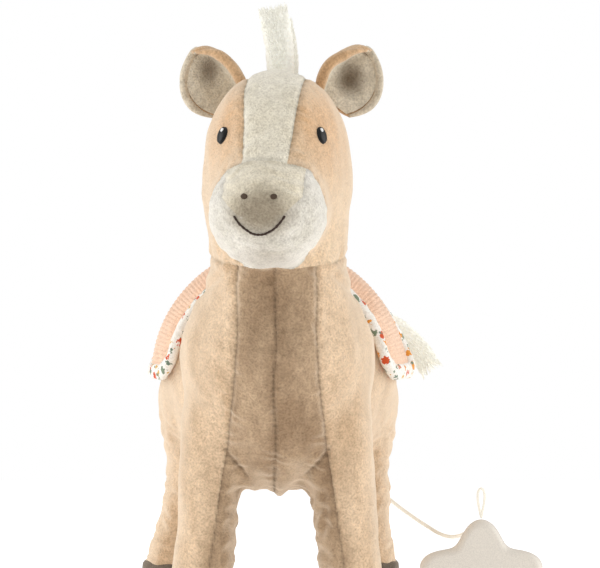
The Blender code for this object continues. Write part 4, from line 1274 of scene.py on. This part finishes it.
def build_cord(star):
    """The pull cord from the rump to the handle, and its grommet."""
    line = route_through(np.array(CORD_ROUTE) * 1000, 6)
    cord = tube("knit_cord", line, CORD_DIAMETER * 500, CORD_COTTON, 12)
    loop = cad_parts["handle_loop"]
    loop.data.materials.clear()
    loop.data.materials.append(CORD_COTTON)
    for polygon in loop.data.polygons:
        polygon.use_smooth = True
    bend = (spot(14.5, 84, 104), spot(86, -19.5, 47.8))
    belongs(cord, "handle", "cream_cord", "pull_cord", bend=bend)
    (rump,), (out,) = on_skin([(12.0, 76.5, 108.0)], 5)
    angles = np.linspace(0, 2 * math.pi, 25)[:, None]
    wide = unit(np.cross(out, (0, 0, 1.0)))
    high = np.cross(wide, out)
    ring = rump + out * 0.8 + 2.6 * (np.cos(angles) * wide + np.sin(angles) * high)
    grommet = tube("cord_ring", ring, 0.95, CASE, 10, 1.0, out)
    belongs(grommet, "torso", "case_plastic", "cord_grommet")


MOVEMENT_TONES = (
    (("loop", "winding", "cord"), CORD_COTTON),
    (("comb", "screw", "mainspring", "shaft"), STEEL),
    (("bedplate", "cylinder", "governor"), BRASS),
    (("",), CASE),
)


def finish_hidden_nodes():
    """Materials for the musical movement's own CAD nodes, which the skin covers."""
    for name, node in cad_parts.items():
        if node.hide_render:
            continue
        tone = next(tone for words, tone in MOVEMENT_TONES if any(word in name for word in words))
        node.data.materials.clear()
        node.data.materials.append(tone)


# ---------------------------------------------------------------- studio

def area_light(name, place_at, aim, size, power, tone=(1, 1, 1)):
    light = bpy.data.lights.new(name, "AREA")
    light.shape = "RECTANGLE"
    light.size, light.size_y = size
    light.energy = power
    light.color = tone
    lamp = bpy.data.objects.new(name, light)
    lamp.location = place_at
    lamp.rotation_euler = (Vector(aim) - Vector(place_at)).to_track_quat("-Z", "Y").to_euler()
    bpy.context.scene.collection.objects.link(lamp)


def build_camera():
    camera_data = bpy.data.cameras.new("view")
    camera_data.lens = 152.8
    camera_data.sensor_width = 36.0
    camera = bpy.data.objects.new("view", camera_data)
    camera.location = spot(9.5, -1100, 150)
    camera.rotation_euler = (math.radians(90), 0, 0)
    bpy.context.scene.collection.objects.link(camera)
    bpy.context.scene.camera = camera


def build_world():
    """White light from all round, weaker on the horse than where the camera sees it."""
    world = bpy.data.worlds.new("studio")
    world.use_nodes = True
    tree = world.node_tree
    path = add(tree, "LightPath", {})
    strength = add(tree, "MapRange", {
        "Value": path.outputs["Is Camera Ray"], "To Min": 0.48, "To Max": 1.0})
    put(tree, tree.nodes["Background"], {
        "Color": grey(1.0), "Strength": strength.outputs["Result"]})
    bpy.context.scene.world = world


def build_floor():
    bpy.ops.mesh.primitive_plane_add(size=1.7, location=(0, 0, -0.0006))
    floor = bpy.context.object
    floor.name = "floor"
    white = new_material("white_floor", {
        "Roughness": 0.9, "Base Color": grey(0.9), "Emission Color": grey(1.0),
        "Emission Strength": 0.5})[0]
    floor.data.materials.append(white)


bpy.context.scene.view_settings.view_transform = "Standard"
build_camera()
build_world()
build_floor()
area_light("left_box", (-1.0, 0.0, 0.42), (0, 0, 0.13), (0.7, 0.9), 5.4)
area_light("right_box", (1.0, 0.0, 0.42), (0, 0, 0.13), (0.7, 0.9), 5.4)
area_light("top_box", (0, -0.2, 1.1), (0, 0, 0.12), (0.9, 0.9), 1.8)
area_light("front_box", (-0.35, -1.3, 0.8), (0, 0, 0.14), (0.6, 0.6), 1.9, (1.0, 0.98, 0.95))

dress_skin(build_skin())
for foot_side in (-1, 1):
    build_hoof("front", foot_side, FRONT_FOOT[foot_side], FRONT_FOOT_RADIUS[foot_side])
    build_hoof("hind", foot_side, HIND_FOOT[foot_side], HIND_FOOT_RADIUS[foot_side])
build_face()
for ear_side in (-1, 1):
    build_ear(ear_side)
build_forelock()
build_mane()
build_tail()
build_saddle()
build_cord(build_handle())
finish_hidden_nodes()
